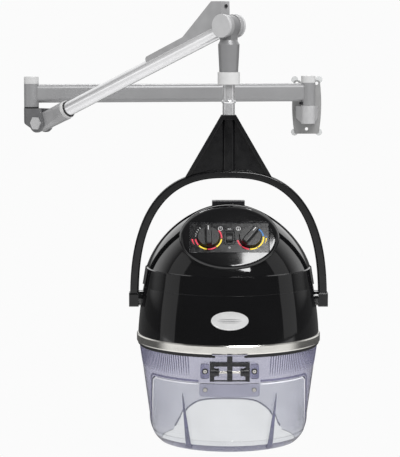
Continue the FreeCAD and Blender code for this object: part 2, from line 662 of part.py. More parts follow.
def make_covers():
    front_half = box(-300, 300, -300, SPLIT_Y, SEAM_Z + 0.3, -100)
    rear_half = box(-300, 300, SPLIT_Y, 300, SEAM_Z + 0.3, -100)
    pod = placed(rounded_pod(), HOOD_FRAME.inverse())
    pod_inside = placed(pod_solid(WALL, POD_FACE), HOOD_FRAME.inverse())
    outside = dome_solid(0).fuse(pod).common(front_half)
    front = outside.cut(dome_solid(-WALL).fuse(pod_inside))
    pocket = placed(box(-PANEL_W / 2, PANEL_W / 2, -PANEL_H / 2, PANEL_H / 2, -5, 60), panel_frame())
    pocket = placed(pocket, HOOD_FRAME.inverse())
    front = front.cut(pocket)
    openings = [cylinder(6, 20, V(sx * KNOB_X, 0, -15)) for sx in (-1, 1)]
    openings.append(box(-9, 9, -13, 13, -15, 0))
    openings = [placed(placed(o, panel_frame()), HOOD_FRAME.inverse()) for o in openings]
    front = max(front.cut(openings).Solids, key=lambda s: s.Volume)
    save("front_cover", placed(front, HOOD_FRAME))

    rear = dome_solid(REAR_STEP).cut(dome_solid(REAR_STEP - WALL)).common(rear_half)
    slots = [
        box(-34, 34, 60, 250, z, z + 4)
        for z in range(-316, -270, 9)
    ]
    gland_hole = cylinder(9, 80, V(0, 120, -352), V(0, 1, 0))
    rear = max(rear.cut(slots + [gland_hole]).Solids, key=lambda s: s.Volume)
    save("rear_cover", placed(rear, HOOD_FRAME))

    vent = box(-36, 36, SPLIT_Y + 2, SPLIT_Y + 36, -206, -191.5)
    vent = round_edges(vent, 3.0, lambda e: along(e, UP))
    vent_slots = [box(-28, 28, y, y + 3, -194, -190) for y in (20, 27, 34, 41)]
    vent = vent.cut(dome_solid(REAR_STEP)).cut(vent_slots)
    save("top_vent", placed(vent, HOOD_FRAME))

    gland = join([
        cylinder(9, 14, V(0, 178, -352), SIDE),
        cylinder(13, 6, V(0, 191, -352), SIDE),
        cylinder(8, 12, V(0, 197, -352), SIDE),
    ]).cut(cylinder(3.5, 60, V(0, 170, -352), SIDE))
    gland = gland.cut(dome_solid(REAR_STEP).cut(cylinder(9, 80, V(0, 120, -352), SIDE)))
    save("cable_gland", placed(max(gland.Solids, key=lambda s: s.Volume), HOOD_FRAME))


def make_lower_shell():
    shell = lower_solid(0).cut(lower_solid(-WALL))
    boss_hole = cylinder(12.0, 500, V(-250, 0, TILT_Z), V(1, 0, 0))
    save("lower_shell", placed(shell.cut(boss_hole), HOOD_FRAME))

    bosses = []
    outside = lower_solid(0)
    for sx in (-1, 1):
        x_dir = V(sx, 0, 0)
        flange = cylinder(17, 27.0, V(sx * 170.4, 0, TILT_Z), x_dir).cut(outside)
        neck = cylinder(12, 24.0, V(sx * 172, 0, TILT_Z), x_dir)
        bore = cylinder(TILT_PIN_R + RUN_GAP, 60, V(sx * 165, 0, TILT_Z), x_dir)
        bosses.append(placed(join([flange, neck]).cut(bore), HOOD_FRAME))
    save("pivot_bosses", *bosses)

    band = turned([(NECK_R, SHELL_BOTTOM_Z), (BAND_R - 1.5, SHELL_BOTTOM_Z), (BAND_R, SHELL_BOTTOM_Z - 2.5),
                   (BAND_R, BAND_BOTTOM_Z + 2.5), (BAND_R - 1.5, BAND_BOTTOM_Z), (NECK_R, BAND_BOTTOM_Z)])
    save("chrome_band", placed(band, HOOD_FRAME))
    seal = turned([(NECK_R, BAND_BOTTOM_Z), (BAND_R - 2.5, BAND_BOTTOM_Z), (BAND_R - 2.5, SEAL_BOTTOM_Z),
                   (NECK_R, SEAL_BOTTOM_Z)])
    save("seal_ring", placed(seal.cut(box(-37, 37, -250, -100, -510, -490)), HOOD_FRAME))

    badge = Part.Face(Part.Wire(Part.Ellipse(V(0, 0, 0), 39.5, 19.5).toShape())).extrude(V(0, 0, 100))
    badge.rotate(V(0, 0, 0), V(1, 0, 0), 90)
    badge.translate(V(0, -120, -426))
    badge = badge.common(lower_solid(1.8)).cut(lower_solid(0))
    save("badge", placed(max(badge.Solids, key=lambda s: s.Volume), HOOD_FRAME))


# Clear skirt, visor and hinge ---------------------------------------------------------------------

def skirt_solid(grow, top_z):
    """Solid below top_z inside the clear wall's outer face, grown outwards by grow."""
    slope = (SKIRT_TOP_R - SKIRT_MID_R) / (SEAL_BOTTOM_Z - SKIRT_MID_Z)
    top_r = SKIRT_MID_R + slope * (top_z - SKIRT_MID_Z) + grow
    mid = V(SKIRT_MID_R + grow, 0, SKIRT_MID_Z)
    arc_mid = V(168.0 + grow * 0.9, 0, -692.0)
    foot = V(SKIRT_BOTTOM_R + grow * 0.7, 0, SKIRT_BOTTOM_Z)
    edges = [
        Part.LineSegment(V(0, 0, top_z), V(top_r, 0, top_z)).toShape(),
        Part.LineSegment(V(top_r, 0, top_z), mid).toShape(),
        Part.Arc(mid, arc_mid, foot).toShape(),
        Part.LineSegment(foot, V(0, 0, SKIRT_BOTTOM_Z)).toShape(),
        Part.LineSegment(V(0, 0, SKIRT_BOTTOM_Z), V(0, 0, top_z)).toShape(),
    ]
    return turned_edges(edges)


def visor_window(gap):
    """Side view of the visor's area, drawn in by gap, as a solid right across the hood."""
    top_y, foot_y = -88.0 - gap, -27.0 - gap
    window = prism_yz([(-400, VISOR_TOP_Z - gap), (top_y, VISOR_TOP_Z - gap), (foot_y, SKIRT_BOTTOM_Z),
                       (foot_y + 8, SKIRT_BOTTOM_Z - 20), (-400, SKIRT_BOTTOM_Z - 20)], -300, 300)
    corner = [
        e for e in window.Edges
        if along(e, V(1, 0, 0)) and abs(e.BoundBox.Center.y - top_y) < 0.5 and e.BoundBox.ZMax > -600
    ]
    return window.makeFillet(20.0 - gap, corner)


def make_skirt():
    neck = ring(NECK_R, NECK_R - WALL, 22.0, V(0, 0, -502.0))
    wall = skirt_solid(0, SEAL_BOTTOM_Z).cut(skirt_solid(-WALL, SEAL_BOTTOM_Z))
    ears = []
    for sx in (-1, 1):
        x0, x1 = sorted((sx * 43, sx * 62))
        ear = box(x0, x1, -196, -150, -549, -518)
        ears.append(round_edges(ear, 5.0, lambda e: along(e, SIDE)))
    ears = [e.cut(skirt_solid(-1.0, SEAL_BOTTOM_Z)) for e in ears]
    notch = prism_xz([(-62, -664), (62, -664), (100, -685), (138, -735), (-138, -735), (-100, -685)], 40, 260)
    notch = round_edges(notch, 12.0, lambda e: along(e, SIDE) and e.BoundBox.ZMax > -700)
    screw_holes = [cylinder(2.0, 40, V(sx * 52, -200, -533), SIDE) for sx in (-1, 1)]
    skirt = join([neck, wall, *ears]).cut([visor_window(0), notch] + screw_holes)
    skirt = max(skirt.Solids, key=lambda s: s.Volume)
    save("skirt", placed(skirt, HOOD_FRAME))
    return skirt


def make_visor(skirt):
    shell = skirt_solid(0, SEAL_BOTTOM_Z).cut(skirt_solid(-WALL, SEAL_BOTTOM_Z))
    front = box(-300, 300, -300, 0, -760, -540)
    lip = skirt_solid(1.5, SEAL_BOTTOM_Z).cut(skirt_solid(-WALL, SEAL_BOTTOM_Z))
    lip = lip.common(box(-300, 300, -300, 0, -760, -690))
    ribs = []
    rib_shell = skirt_solid(6.0, SEAL_BOTTOM_Z).cut(skirt_solid(-1.0, SEAL_BOTTOM_Z))
    for sx in (-1, 1):
        rib = prism_xz([(sx * 101, -588), (sx * 99, -588), (sx * 80, -712), (sx * 93, -712)], -300, -80)
        ribs.append(rib.common(rib_shell))
    visor = join([shell.common(front), lip, *ribs]).common(visor_window(VISOR_GAP))
    leaf_screw_holes = [cylinder(2.0, 60, V(sx * 52, -200, -575), SIDE) for sx in (-1, 1)]
    visor = max(visor.Solids, key=lambda s: s.Volume)
    save("visor", placed(visor.cut(leaf_screw_holes), HOOD_FRAME))

    x_axis = V(1, 0, 0)
    plate = box(-64, 64, -200, -150, -590, VISOR_TOP_Z - VISOR_GAP)
    plate = round_edges(plate, 5.0, lambda e: along(e, SIDE))
    plate = plate.common(skirt_solid(4.0, SEAL_BOTTOM_Z))
    arms = []
    for x0, x1 in ((-32.4, -6.2), (6.2, 32.4)):
        barrel = cylinder(7.5, x1 - x0, V(x0, HINGE_Y, HINGE_Z), x_axis)
        arm = box(x0 + 2, x1 - 2, HINGE_Y - 6, HINGE_Y + 5, VISOR_TOP_Z - 22, HINGE_Z)
        arms += [barrel, arm]
    leaf = join([plate, *arms]).cut(skirt_solid(0, SEAL_BOTTOM_Z).common(box(-300, 300, -300, 0, -760, -556)))
    holes = leaf_screw_holes + [cylinder(HINGE_PIN_R + RUN_GAP, 90, V(-45, HINGE_Y, HINGE_Z), x_axis)]
    leaf = max(leaf.cut(holes).Solids, key=lambda s: s.Volume)
    save("hinge_leaf", placed(leaf, HOOD_FRAME))

    frame = box(-42, 42, HINGE_Y - 6, -180, -553, -513)
    windows = [box(x0, x1, -230, -150, -560, -517) for x0, x1 in ((-33, -5.6), (5.6, 33))]
    post = box(-5.6, 5.6, HINGE_Y - 4, -180, -520, -500.6)
    base = join([frame.cut(windows), post]).cut(skirt_solid(0, SEAL_BOTTOM_Z + 10))
    base = base.cut(skirt).cut(cylinder(HINGE_PIN_R, 76, V(-38, HINGE_Y, HINGE_Z), x_axis))
    save("hinge_base", placed(max(base.Solids, key=lambda s: s.Volume), HOOD_FRAME))
    pin = cylinder(HINGE_PIN_R, 76, V(-38, HINGE_Y, HINGE_Z), x_axis)
    save("hinge_pin", placed(pin, HOOD_FRAME))
    save("ear_screws", *[screw(sx * 52, -196.0, -533) for sx in (-1, 1)])
    leaf_face = leaf_front(52 - SCREW_HEAD_R, -575)
    save("leaf_screws", *[screw(sx * 52, leaf_face, -575) for sx in (-1, 1)])


def leaf_front(x, z):
    """Y of the hinge leaf's outer face at x and z."""
    slope = (SKIRT_TOP_R - SKIRT_MID_R) / (SEAL_BOTTOM_Z - SKIRT_MID_Z)
    radius = SKIRT_MID_R + slope * (z - SKIRT_MID_Z) + 4.0
    return -math.sqrt(radius ** 2 - x ** 2)


def screw(x, y, z):
    """Small pan-head screw whose head stands on a front face."""
    shank = cylinder(2.0, 7.0, V(x, y - 0.5, z), SIDE)
    head = cylinder(SCREW_HEAD_R, 2.4, V(x, y - 2.4, z), SIDE)
    return placed(join([shank, head]), HOOD_FRAME)


# Inside the hood ----------------------------------------------------------------------------------

def make_inside():
    bowl_a, bowl_b, bowl_z, bowl_wall = 165.0, 137.0, -481.0, 2.0
    flange = ring(NECK_R - WALL - 0.2, bowl_a - bowl_wall, 2.0, V(0, 0, bowl_z - 2.0))
    dome = bowl_solid(bowl_a, bowl_b, bowl_z).cut(bowl_solid(bowl_a - bowl_wall, bowl_b - bowl_wall, bowl_z))
    holes = []
    for radius, count in ((34, 6), (62, 12), (92, 18)):
        for k in range(count):
            angle = 2 * math.pi * k / count
            at = V(radius * math.cos(angle), radius * math.sin(angle), bowl_z)
            holes.append(cylinder(4.0, 150, at))
    bowl = join([dome, flange]).cut(holes)
    save("air_bowl", placed(bowl, HOOD_FRAME))

    housing = ring(75, 67, 44, V(0, 0, -344)).fuse(ring(75, 12, 3, V(0, 0, -303)))
    arms = []
    for k in range(4):
        arm = box(66.5, 172, -8, 8, -350, -344)
        post = cylinder(4, 131, V(169, 0, bowl_z))
        post = post.common(box(0, 300, -20, 20, bowl_z, -350))
        spoke = join([arm, post])
        spoke.rotate(V(0, 0, 0), UP, 45 + 90 * k)
        arms.append(spoke)
    save("fan_housing", placed(join([housing, *arms]), HOOD_FRAME))

    motor = cylinder(36, 56, V(0, 0, -300)).cut(cylinder(4 + RUN_GAP, 30, V(0, 0, -300)))
    save("motor", placed(motor, HOOD_FRAME))

    heater_parts = []
    for radius, z in ((95.0, -356.0), (115.0, -366.0)):
        heater_parts.append(Part.makeTorus(radius, 3.5, V(0, 0, z), UP))
    for k in range(4):
        strut = box(93, 117, -3, 3, -366, -356).fuse(cylinder(3, 6, V(95, 0, -356)))
        strut.rotate(V(0, 0, 0), UP, 45 + 90 * k)
        heater_parts.append(strut)
    save("heater", placed(join(heater_parts), HOOD_FRAME))

    hub = cylinder(12, 26, V(0, 0, -336))
    back = cylinder(60, 2.5, V(0, 0, -310))
    shaft = cylinder(4, 56, V(0, 0, -334))
    blades = []
    for k in range(12):
        blade = box(30, 60, -1, 1, -336, -310)
        blade.rotate(V(45, 0, 0), UP, 25)
        blade.rotate(V(0, 0, 0), UP, 30 * k)
        blades.append(blade)
    blades = [b.common(cylinder(60, 60, V(0, 0, -345))) for b in blades]
    save("impeller", placed(join([hub, back, shaft, *blades]), HOOD_FRAME))


def bowl_solid(a, b, base_z):
    ball = Part.makeSphere(a)
    squash = FreeCAD.Matrix()
    squash.scale(1, 1, b / a)
    dome = ball.transformGeometry(squash)
    dome.translate(V(0, 0, base_z))
    return dome.common(Part.makeBox(500, 500, 300, V(-250, -250, base_z)))


# Controls -----------------------------------------------------------------------------------------

def make_controls():
    panel = box(-PANEL_W / 2, PANEL_W / 2, -PANEL_H / 2, PANEL_H / 2, -5, -2.5)
    shaft_holes = [cylinder(4.5, 10, V(sx * KNOB_X, 0, -8)) for sx in (-1, 1)]
    rocker_hole = box(-8.2, 8.2, -12.2, 12.2, -8, 0)
    save("control_panel", placed(panel.cut(shaft_holes + [rocker_hole]), panel_frame()))

    body_top = -11.0
    shaft_gap = SHAFT_R + RUN_GAP
    timer = box(-KNOB_X - 20, -KNOB_X + 20, -20, 20, body_top - 34, body_top)
    timer = timer.cut(cylinder(shaft_gap, 14, V(-KNOB_X, 0, body_top - 14)))
    save("timer_body", placed(timer, panel_frame()))
    thermostat = cylinder(18, 24, V(KNOB_X, 0, body_top - 24))
    thermostat = thermostat.cut(cylinder(shaft_gap, 14, V(KNOB_X, 0, body_top - 14)))
    save("thermostat_body", placed(thermostat, panel_frame()))
    switch = box(-9, 9, -13, 13, body_top - 14, -5)
    cradle = box(-7.2, 7.2, -11.2, 11.2, body_top - 6, 0)
    pin_hole = cylinder(ROCKER_PIN_R + RUN_GAP, 20, V(-10, 0, ROCKER_PIN_Z), V(1, 0, 0))
    save("switch_body", placed(switch.cut([cradle, pin_hole]), panel_frame()))

    for name, x, angle in (("timer_knob", -KNOB_X, 2.0), ("temperature_knob", KNOB_X, -38.0)):
        skirt = Part.makeCone(KNOB_R, KNOB_R - 1.5, 7.5, V(0, 0, -2.1))
        grip = box(-6.5, 6.5, -KNOB_R + 1, KNOB_R - 1, 0, 17)
        grip = round_edges(grip, 3.0, lambda e: along(e, UP) or e.BoundBox.ZMin > 16.9)
        shaft = cylinder(SHAFT_R, 20, V(0, 0, -22))
        knob = join([skirt, grip, shaft])
        knob.rotate(V(0, 0, 0), UP, angle)
        knob.translate(V(x, 0, 0))
        save(name, placed(knob, panel_frame()))

    paddle = cylinder(24, 12, V(-6, 0, -21.5), V(1, 0, 0)).common(box(-6, 6, -10.6, 10.6, -9, 10))
    pin = cylinder(ROCKER_PIN_R, 17, V(-8.5, 0, ROCKER_PIN_Z), V(1, 0, 0))
    save("rocker_switch", placed(join([paddle, pin]), panel_frame()))


def main():
    os.makedirs("parts", exist_ok=True)
    make_wall_bracket()
    make_wall_arm()
    make_elbow()
    make_lift_arm()
    make_tension_rod()
    make_drop_head()
    make_yoke()
    make_covers()
    make_lower_shell()
    make_visor(make_skirt())
    make_inside()
    make_controls()


main()
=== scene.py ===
"""Looks, fine detail, light and camera for the hood dryer on its folding wall arm. Lengths are metres."""
import json
import math

import bmesh
import bpy
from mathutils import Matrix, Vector
from mathutils.bvhtree import BVHTree


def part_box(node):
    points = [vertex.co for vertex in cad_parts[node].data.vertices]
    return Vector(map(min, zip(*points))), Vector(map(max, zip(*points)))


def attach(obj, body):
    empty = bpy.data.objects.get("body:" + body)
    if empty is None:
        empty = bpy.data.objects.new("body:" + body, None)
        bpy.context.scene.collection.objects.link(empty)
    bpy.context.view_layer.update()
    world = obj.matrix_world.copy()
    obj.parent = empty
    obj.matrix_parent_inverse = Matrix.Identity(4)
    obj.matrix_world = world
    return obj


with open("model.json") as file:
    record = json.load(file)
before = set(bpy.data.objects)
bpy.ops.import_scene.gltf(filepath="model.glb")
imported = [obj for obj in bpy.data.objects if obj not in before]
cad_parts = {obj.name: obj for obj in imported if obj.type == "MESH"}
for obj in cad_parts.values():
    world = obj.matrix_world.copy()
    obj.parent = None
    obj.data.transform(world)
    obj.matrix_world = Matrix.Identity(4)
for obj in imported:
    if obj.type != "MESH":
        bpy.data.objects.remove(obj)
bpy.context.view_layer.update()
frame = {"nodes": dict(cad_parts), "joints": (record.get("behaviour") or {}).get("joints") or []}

MM = 0.001
RIGHT = Vector((1, 0, 0))
UP = Vector((0, 0, 1))
FRONT = Vector((0, -1, 0))
SCREW_HEAD_R = 3.8 * MM

# Places taken from the CAD nodes
spindle_low, spindle_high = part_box("spindle")
HEAD_X = (spindle_low.x + spindle_high.x) / 2
HEAD_Y = (spindle_low.y + spindle_high.y) / 2
HEAD = Vector((HEAD_X, HEAD_Y, 0))

JOINTS = {joint["name"]: joint for joint in frame["joints"]}

# Clear skirt: radius at the seal, and radius and height at the start of the bottom curve
SEAL_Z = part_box("seal_ring")[0].z
SKIRT_TOP_R = 195.3 * MM
SKIRT_MID_R = 174.0 * MM
SKIRT_MID_Z = -660.0 * MM

# Control panel's own plane
PANEL_LEAN = math.radians(35.0)
PANEL_UP = Vector((0, math.sin(PANEL_LEAN), math.cos(PANEL_LEAN)))
PANEL_OUT = Vector((0, -math.cos(PANEL_LEAN), math.sin(PANEL_LEAN)))
PANEL_CENTRE = sum(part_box("control_panel"), Vector()) / 2 + PANEL_OUT * 1.25 * MM
KNOB_X = 44.5 * MM         # sideways distance of each knob from the panel's centre
KNOB_PLANE = 2.5 * MM      # height of the knobs' own plane over the panel's face
PANEL_HALF_W = 85.0 * MM
PANEL_HALF_H = 37.0 * MM


# Materials ----------------------------------------------------------------------------------------

class Nodes:
    """Short way to add and link shader nodes."""

    def __init__(self, name):
        self.material = bpy.data.materials.new(name)
        self.material.use_nodes = True
        self.tree = self.material.node_tree
        self.shader = self.tree.nodes["Principled BSDF"]
        self.output = self.tree.nodes["Material Output"]

    def add(self, kind, **settings):
        node = self.tree.nodes.new(kind)
        for key, value in settings.items():
            setattr(node, key, value)
        return node

    def link(self, source, target):
        self.tree.links.new(source, target)

    def noise(self, size, detail=4.0, stretch=None, roughness=0.5):
        """Noise in the row frame whose features are about size metres across."""
        place = self.add("ShaderNodeTexCoord")
        noise = self.add("ShaderNodeTexNoise")
        noise.inputs["Scale"].default_value = 1.0 / size
        noise.inputs["Detail"].default_value = detail
        noise.inputs["Roughness"].default_value = roughness
        if stretch is None:
            self.link(place.outputs["Object"], noise.inputs["Vector"])
        else:
            mapping = self.add("ShaderNodeMapping")
            mapping.inputs["Rotation"].default_value = stretch[0]
            mapping.inputs["Scale"].default_value = stretch[1]
            self.link(place.outputs["Object"], mapping.inputs["Vector"])
            self.link(mapping.outputs["Vector"], noise.inputs["Vector"])
        return noise.outputs["Fac"]

    def spread(self, value, low, high, from_low=0.3, from_high=0.7):
        """Map a noise value to the range low to high."""
        node = self.add("ShaderNodeMapRange")
        node.inputs["From Min"].default_value = from_low
        node.inputs["From Max"].default_value = from_high
        node.inputs["To Min"].default_value = low
        node.inputs["To Max"].default_value = high
        self.link(value, node.inputs["Value"])
        return node.outputs["Result"]

    def blend(self, factor, first, second):
        """Colour between first and second, which are colours or sockets."""
        node = self.add("ShaderNodeMix", data_type="RGBA")
        self.link(factor, node.inputs[0])
        for socket, colour in ((node.inputs[6], first), (node.inputs[7], second)):
            if isinstance(colour, tuple):
                socket.default_value = (*colour, 1.0)
            else:
                self.link(colour, socket)
        return node.outputs[2]

    def edge(self, radius):
        """Mask from 0 on flat faces to 1 on edges within radius metres, and the rounded normal."""
        bevel = self.add("ShaderNodeBevel", samples=4)
        bevel.inputs["Radius"].default_value = radius
        geometry = self.add("ShaderNodeNewGeometry")
        product = self.add("ShaderNodeVectorMath", operation="DOT_PRODUCT")
        self.link(bevel.outputs["Normal"], product.inputs[0])
        self.link(geometry.outputs["Normal"], product.inputs[1])
        return self.spread(product.outputs["Value"], 1.0, 0.0, 0.88, 0.995), bevel.outputs["Normal"]


def tinted(colour, factor):
    return tuple(min(1.0, channel * factor) for channel in colour)


def finish(name, colour, roughness, metallic=0.0, mottle=0.05, mottle_size=0.05, smudge=0.05,
           grain=0.0, grain_size=0.0006, coat=0.0, edge_wear_and_highlight=None, stretch=None):
    """Surface with slow colour change, uneven gloss, fine grain and, where set, lighter edges, partly rubbed
    wear and partly painted highlight.
    """
    n = Nodes(name)
    n.shader.inputs["Metallic"].default_value = metallic
    if coat:
        n.shader.inputs["Coat Weight"].default_value = coat
        n.shader.inputs["Coat Roughness"].default_value = 0.03
    tone = n.spread(n.noise(mottle_size), 0.0, 1.0)
    colour_out = n.blend(tone, tinted(colour, 1 - mottle), tinted(colour, 1 + mottle))
    rough_out = n.spread(n.noise(mottle_size * 0.45, 6.0, stretch), roughness - smudge, roughness + smudge)
    edge_normal = None
    # Lighter patchy colour along edges: partly rubbed wear, partly a painted highlight on them
    if edge_wear_and_highlight:
        edge_wear_and_highlight_colour, edge_wear_and_highlight_radius, edge_wear_and_highlight_amount = edge_wear_and_highlight
        mask, edge_normal = n.edge(edge_wear_and_highlight_radius)
        patchy = n.spread(n.noise(0.006, 5.0), 0.0, edge_wear_and_highlight_amount, 0.42, 0.62)
        both = n.add("ShaderNodeMath", operation="MULTIPLY")
        n.link(mask, both.inputs[0])
        n.link(patchy, both.inputs[1])
        colour_out = n.blend(both.outputs[0], colour_out, edge_wear_and_highlight_colour)
    n.link(colour_out, n.shader.inputs["Base Color"])
    n.link(rough_out, n.shader.inputs["Roughness"])
    if grain:
        bump = n.add("ShaderNodeBump")
        bump.inputs["Strength"].default_value = 1.0
        bump.inputs["Distance"].default_value = grain
        n.link(n.noise(grain_size, 3.0, stretch), bump.inputs["Height"])
        if edge_normal is not None:
            n.link(edge_normal, bump.inputs["Normal"])
        n.link(bump.outputs["Normal"], n.shader.inputs["Normal"])
    elif edge_normal is not None:
        n.link(edge_normal, n.shader.inputs["Normal"])
    return n.material


def clear_plastic(name, colour, clearness, roughness=0.04, depth_tint=None, density=0.0):
    """Clear plastic with faint haze, darker where it is thicker. Lamps shine through it."""
    n = Nodes(name)
    if density:
        inside = n.add("ShaderNodeVolumeAbsorption")
        inside.inputs["Color"].default_value = (*depth_tint, 1.0)
        inside.inputs["Density"].default_value = density
        n.link(inside.outputs[0], n.output.inputs["Volume"])
    n.shader.inputs["IOR"].default_value = 1.45
    n.shader.inputs["Transmission Weight"].default_value = clearness
    haze = n.spread(n.noise(0.07, 5.0), 0.0, 1.0)
    n.link(n.blend(haze, tinted(colour, 0.96), tinted(colour, 1.03)), n.shader.inputs["Base Color"])
    n.link(n.spread(n.noise(0.03, 6.0), roughness * 0.6, roughness * 1.6), n.shader.inputs["Roughness"])
    through = n.add("ShaderNodeBsdfTransparent")
    through.inputs["Color"].default_value = (*tinted(colour, 0.97), 1.0)
    path = n.add("ShaderNodeLightPath")
    mix = n.add("ShaderNodeMixShader")
    n.link(path.outputs["Is Shadow Ray"], mix.inputs[0])
    n.link(n.shader.outputs[0], mix.inputs[1])
    n.link(through.outputs[0], mix.inputs[2])
    n.link(mix.outputs[0], n.output.inputs["Surface"])
    return n.material


# Stretch of the noise: (rotation, scale) so that it runs along a part
ALONG_X = ((0, 0, 0), (0.06, 1.0, 1.0))
ALONG_Z = ((0, 0, 0), (1.0, 1.0, 0.06))
AROUND_Z = ((0, 0, 0), (0.25, 0.25, 1.6))
ALONG_LIFT = ((0, math.radians(-21.8), math.radians(39.1)), (0.06, 1.0, 1.0))

# Edge colour of the metal castings: partly rubbed bare metal, partly painted highlight
WORN_METAL_AND_HIGHLIGHT = (0.62, 0.61, 0.59)
materials = {
    "arm_grey": finish("arm_grey", (0.285, 0.285, 0.29), 0.42, 0.35, 0.05, 0.09, 0.06, 4e-6, 0.0011,
                       edge_wear_and_highlight=(WORN_METAL_AND_HIGHLIGHT, 0.0009, 0.5), stretch=ALONG_X),
    "cast_grey": finish("cast_grey", (0.33, 0.33, 0.335), 0.40, 0.30, 0.07, 0.03, 0.07, 1.2e-5, 0.0012,
                        edge_wear_and_highlight=(WORN_METAL_AND_HIGHLIGHT, 0.0009, 0.55)),
    "fork_grey": finish("fork_grey", (0.15, 0.15, 0.155), 0.38, 0.35, 0.08, 0.03, 0.07, 1.2e-5, 0.0012,
                        edge_wear_and_highlight=(WORN_METAL_AND_HIGHLIGHT, 0.0009, 0.6)),
    "drop_grey": finish("drop_grey", (0.235, 0.235, 0.24), 0.36, 0.45, 0.05, 0.05, 0.06, 5e-6, 0.0011,
                        edge_wear_and_highlight=(WORN_METAL_AND_HIGHLIGHT, 0.0008, 0.5), stretch=ALONG_Z),
    "disc_grey": finish("disc_grey", (0.46, 0.46, 0.465), 0.38, 0.25, 0.04, 0.02, 0.05, 5e-6, 0.0008),
    "plate_grey": finish("plate_grey", (0.30, 0.30, 0.30), 0.40, 0.25, 0.06, 0.03, 0.06, 8e-6, 0.0010,
                         edge_wear_and_highlight=(WORN_METAL_AND_HIGHLIGHT, 0.0008, 0.5)),
    "pad_grey": finish("pad_grey", (0.52, 0.53, 0.53), 0.45, 0.0, 0.06, 0.01, 0.06, 6e-6, 0.0007),
    "cap_light": finish("cap_light", (0.48, 0.48, 0.48), 0.36, 0.0, 0.03, 0.02, 0.05, 4e-6, 0.0008),
    "bush_nylon": finish("bush_nylon", (0.66, 0.65, 0.60), 0.45, 0.0, 0.04, 0.01, 0.05, 3e-6, 0.0006),
    "pin_steel": finish("pin_steel", (0.50, 0.50, 0.51), 0.28, 1.0, 0.06, 0.01, 0.08, 2e-6, 0.0004),
    "screw_black": finish("screw_black", (0.030, 0.030, 0.032), 0.38, 0.6, 0.10, 0.004, 0.08, 4e-6, 0.0005),
    "screw_bright": finish("screw_bright", (0.72, 0.70, 0.66), 0.22, 1.0, 0.08, 0.003, 0.08, 2e-6, 0.0004),
    "tube_bright": finish("tube_bright", (0.82, 0.82, 0.83), 0.22, 0.70, 0.03, 0.05, 0.05, 8e-7, 0.0005,
                          stretch=ALONG_LIFT),
    "spindle_chrome": finish("spindle_chrome", (0.88, 0.88, 0.89), 0.18, 0.78, 0.03, 0.02, 0.03),
    "band_chrome": finish("band_chrome", (0.80, 0.785, 0.745), 0.20, 1.0, 0.04, 0.04, 0.06, 8e-7, 0.0005,
                          stretch=AROUND_Z),
    "yoke_black": finish("yoke_black", (0.0035, 0.0035, 0.004), 0.16, 0.0, 0.15, 0.04, 0.05, 4e-6, 0.0012,
                         edge_wear_and_highlight=((0.035, 0.035, 0.037), 0.0010, 0.5)),
    "shell_black": finish("shell_black", (0.0030, 0.0030, 0.0034), 0.06, 0.0, 0.15, 0.08, 0.025, 1.2e-6,
                          0.0040, coat=0.6, edge_wear_and_highlight=((0.030, 0.030, 0.032), 0.0009, 0.5)),
    "trim_black": finish("trim_black", (0.014, 0.014, 0.016), 0.27, 0.0, 0.15, 0.02, 0.07, 6e-6, 0.0008,
                         edge_wear_and_highlight=((0.06, 0.06, 0.065), 0.0006, 0.6)),
    "panel_black": finish("panel_black", (0.005, 0.005, 0.0055), 0.16, 0.0, 0.12, 0.02, 0.06, 5e-6, 0.0006),
    "knob_black": finish("knob_black", (0.007, 0.007, 0.0075), 0.32, 0.0, 0.12, 0.01, 0.08, 8e-6, 0.0006,
                         edge_wear_and_highlight=((0.07, 0.07, 0.07), 0.0007, 0.6)),
    "seal_rubber": finish("seal_rubber", (0.012, 0.012, 0.013), 0.55, 0.0, 0.15, 0.02, 0.08, 8e-6, 0.0007),
    "badge_silver": finish("badge_silver", (0.66, 0.66, 0.66), 0.34, 0.35, 0.04, 0.01, 0.06, 2e-6, 0.0004,
                           stretch=ALONG_X),
    "bowl_white": finish("bowl_white", (0.62, 0.62, 0.66), 0.35, 0.0, 0.04, 0.05, 0.06, 6e-6, 0.0009),
    "motor_steel": finish("motor_steel", (0.42, 0.42, 0.43), 0.38, 0.9, 0.08, 0.02, 0.08, 4e-6, 0.0006),
    "heater_wire": finish("heater_wire", (0.32, 0.27, 0.23), 0.42, 0.8, 0.15, 0.01, 0.08, 6e-6, 0.0006),
    "control_body": finish("control_body", (0.06, 0.06, 0.07), 0.45, 0.0, 0.12, 0.01, 0.06, 6e-6, 0.0007),
    "clear_tint": clear_plastic("clear_tint", (0.83, 0.83, 0.86), 0.97, 0.04, (0.30, 0.29, 0.50), 92.0),
    "visor_tint": clear_plastic("visor_tint", (0.86, 0.87, 0.87), 0.97, 0.04, (0.36, 0.39, 0.50), 80.0),
    # Darker, less clear plastic: the plastic's own tint with painted shade added
    "rib_tint": clear_plastic("rib_tint", (0.34, 0.335, 0.46), 0.75, 0.12),
    # Darkest plastic: the plastic's tint with painted shade for dark clear edges
    "fin_tint": clear_plastic("fin_tint", (0.24, 0.24, 0.36), 0.60, 0.10),
    # Whiter, less clear plastic for the visor's edge bead: a painted highlight
    "edge_light": clear_plastic("edge_light", (0.92, 0.92, 0.97), 0.35, 0.10),
    "ink_red": finish("ink_red", (0.62, 0.012, 0.045), 0.42, 0.0, 0.06, 0.004, 0.05),
    "ink_yellow": finish("ink_yellow", (0.80, 0.58, 0.015), 0.42, 0.0, 0.05, 0.004, 0.05),
    "ink_blue": finish("ink_blue", (0.012, 0.145, 0.40), 0.42, 0.0, 0.06, 0.004, 0.05),
    "ink_white": finish("ink_white", (0.62, 0.62, 0.62), 0.45, 0.0, 0.04, 0.004, 0.05),
    # Dark colour for the badge's lines, and painted shade in the screws' cross recesses
    "engraved": finish("engraved", (0.11, 0.11, 0.12), 0.45, 0.5, 0.10, 0.003, 0.06),
}

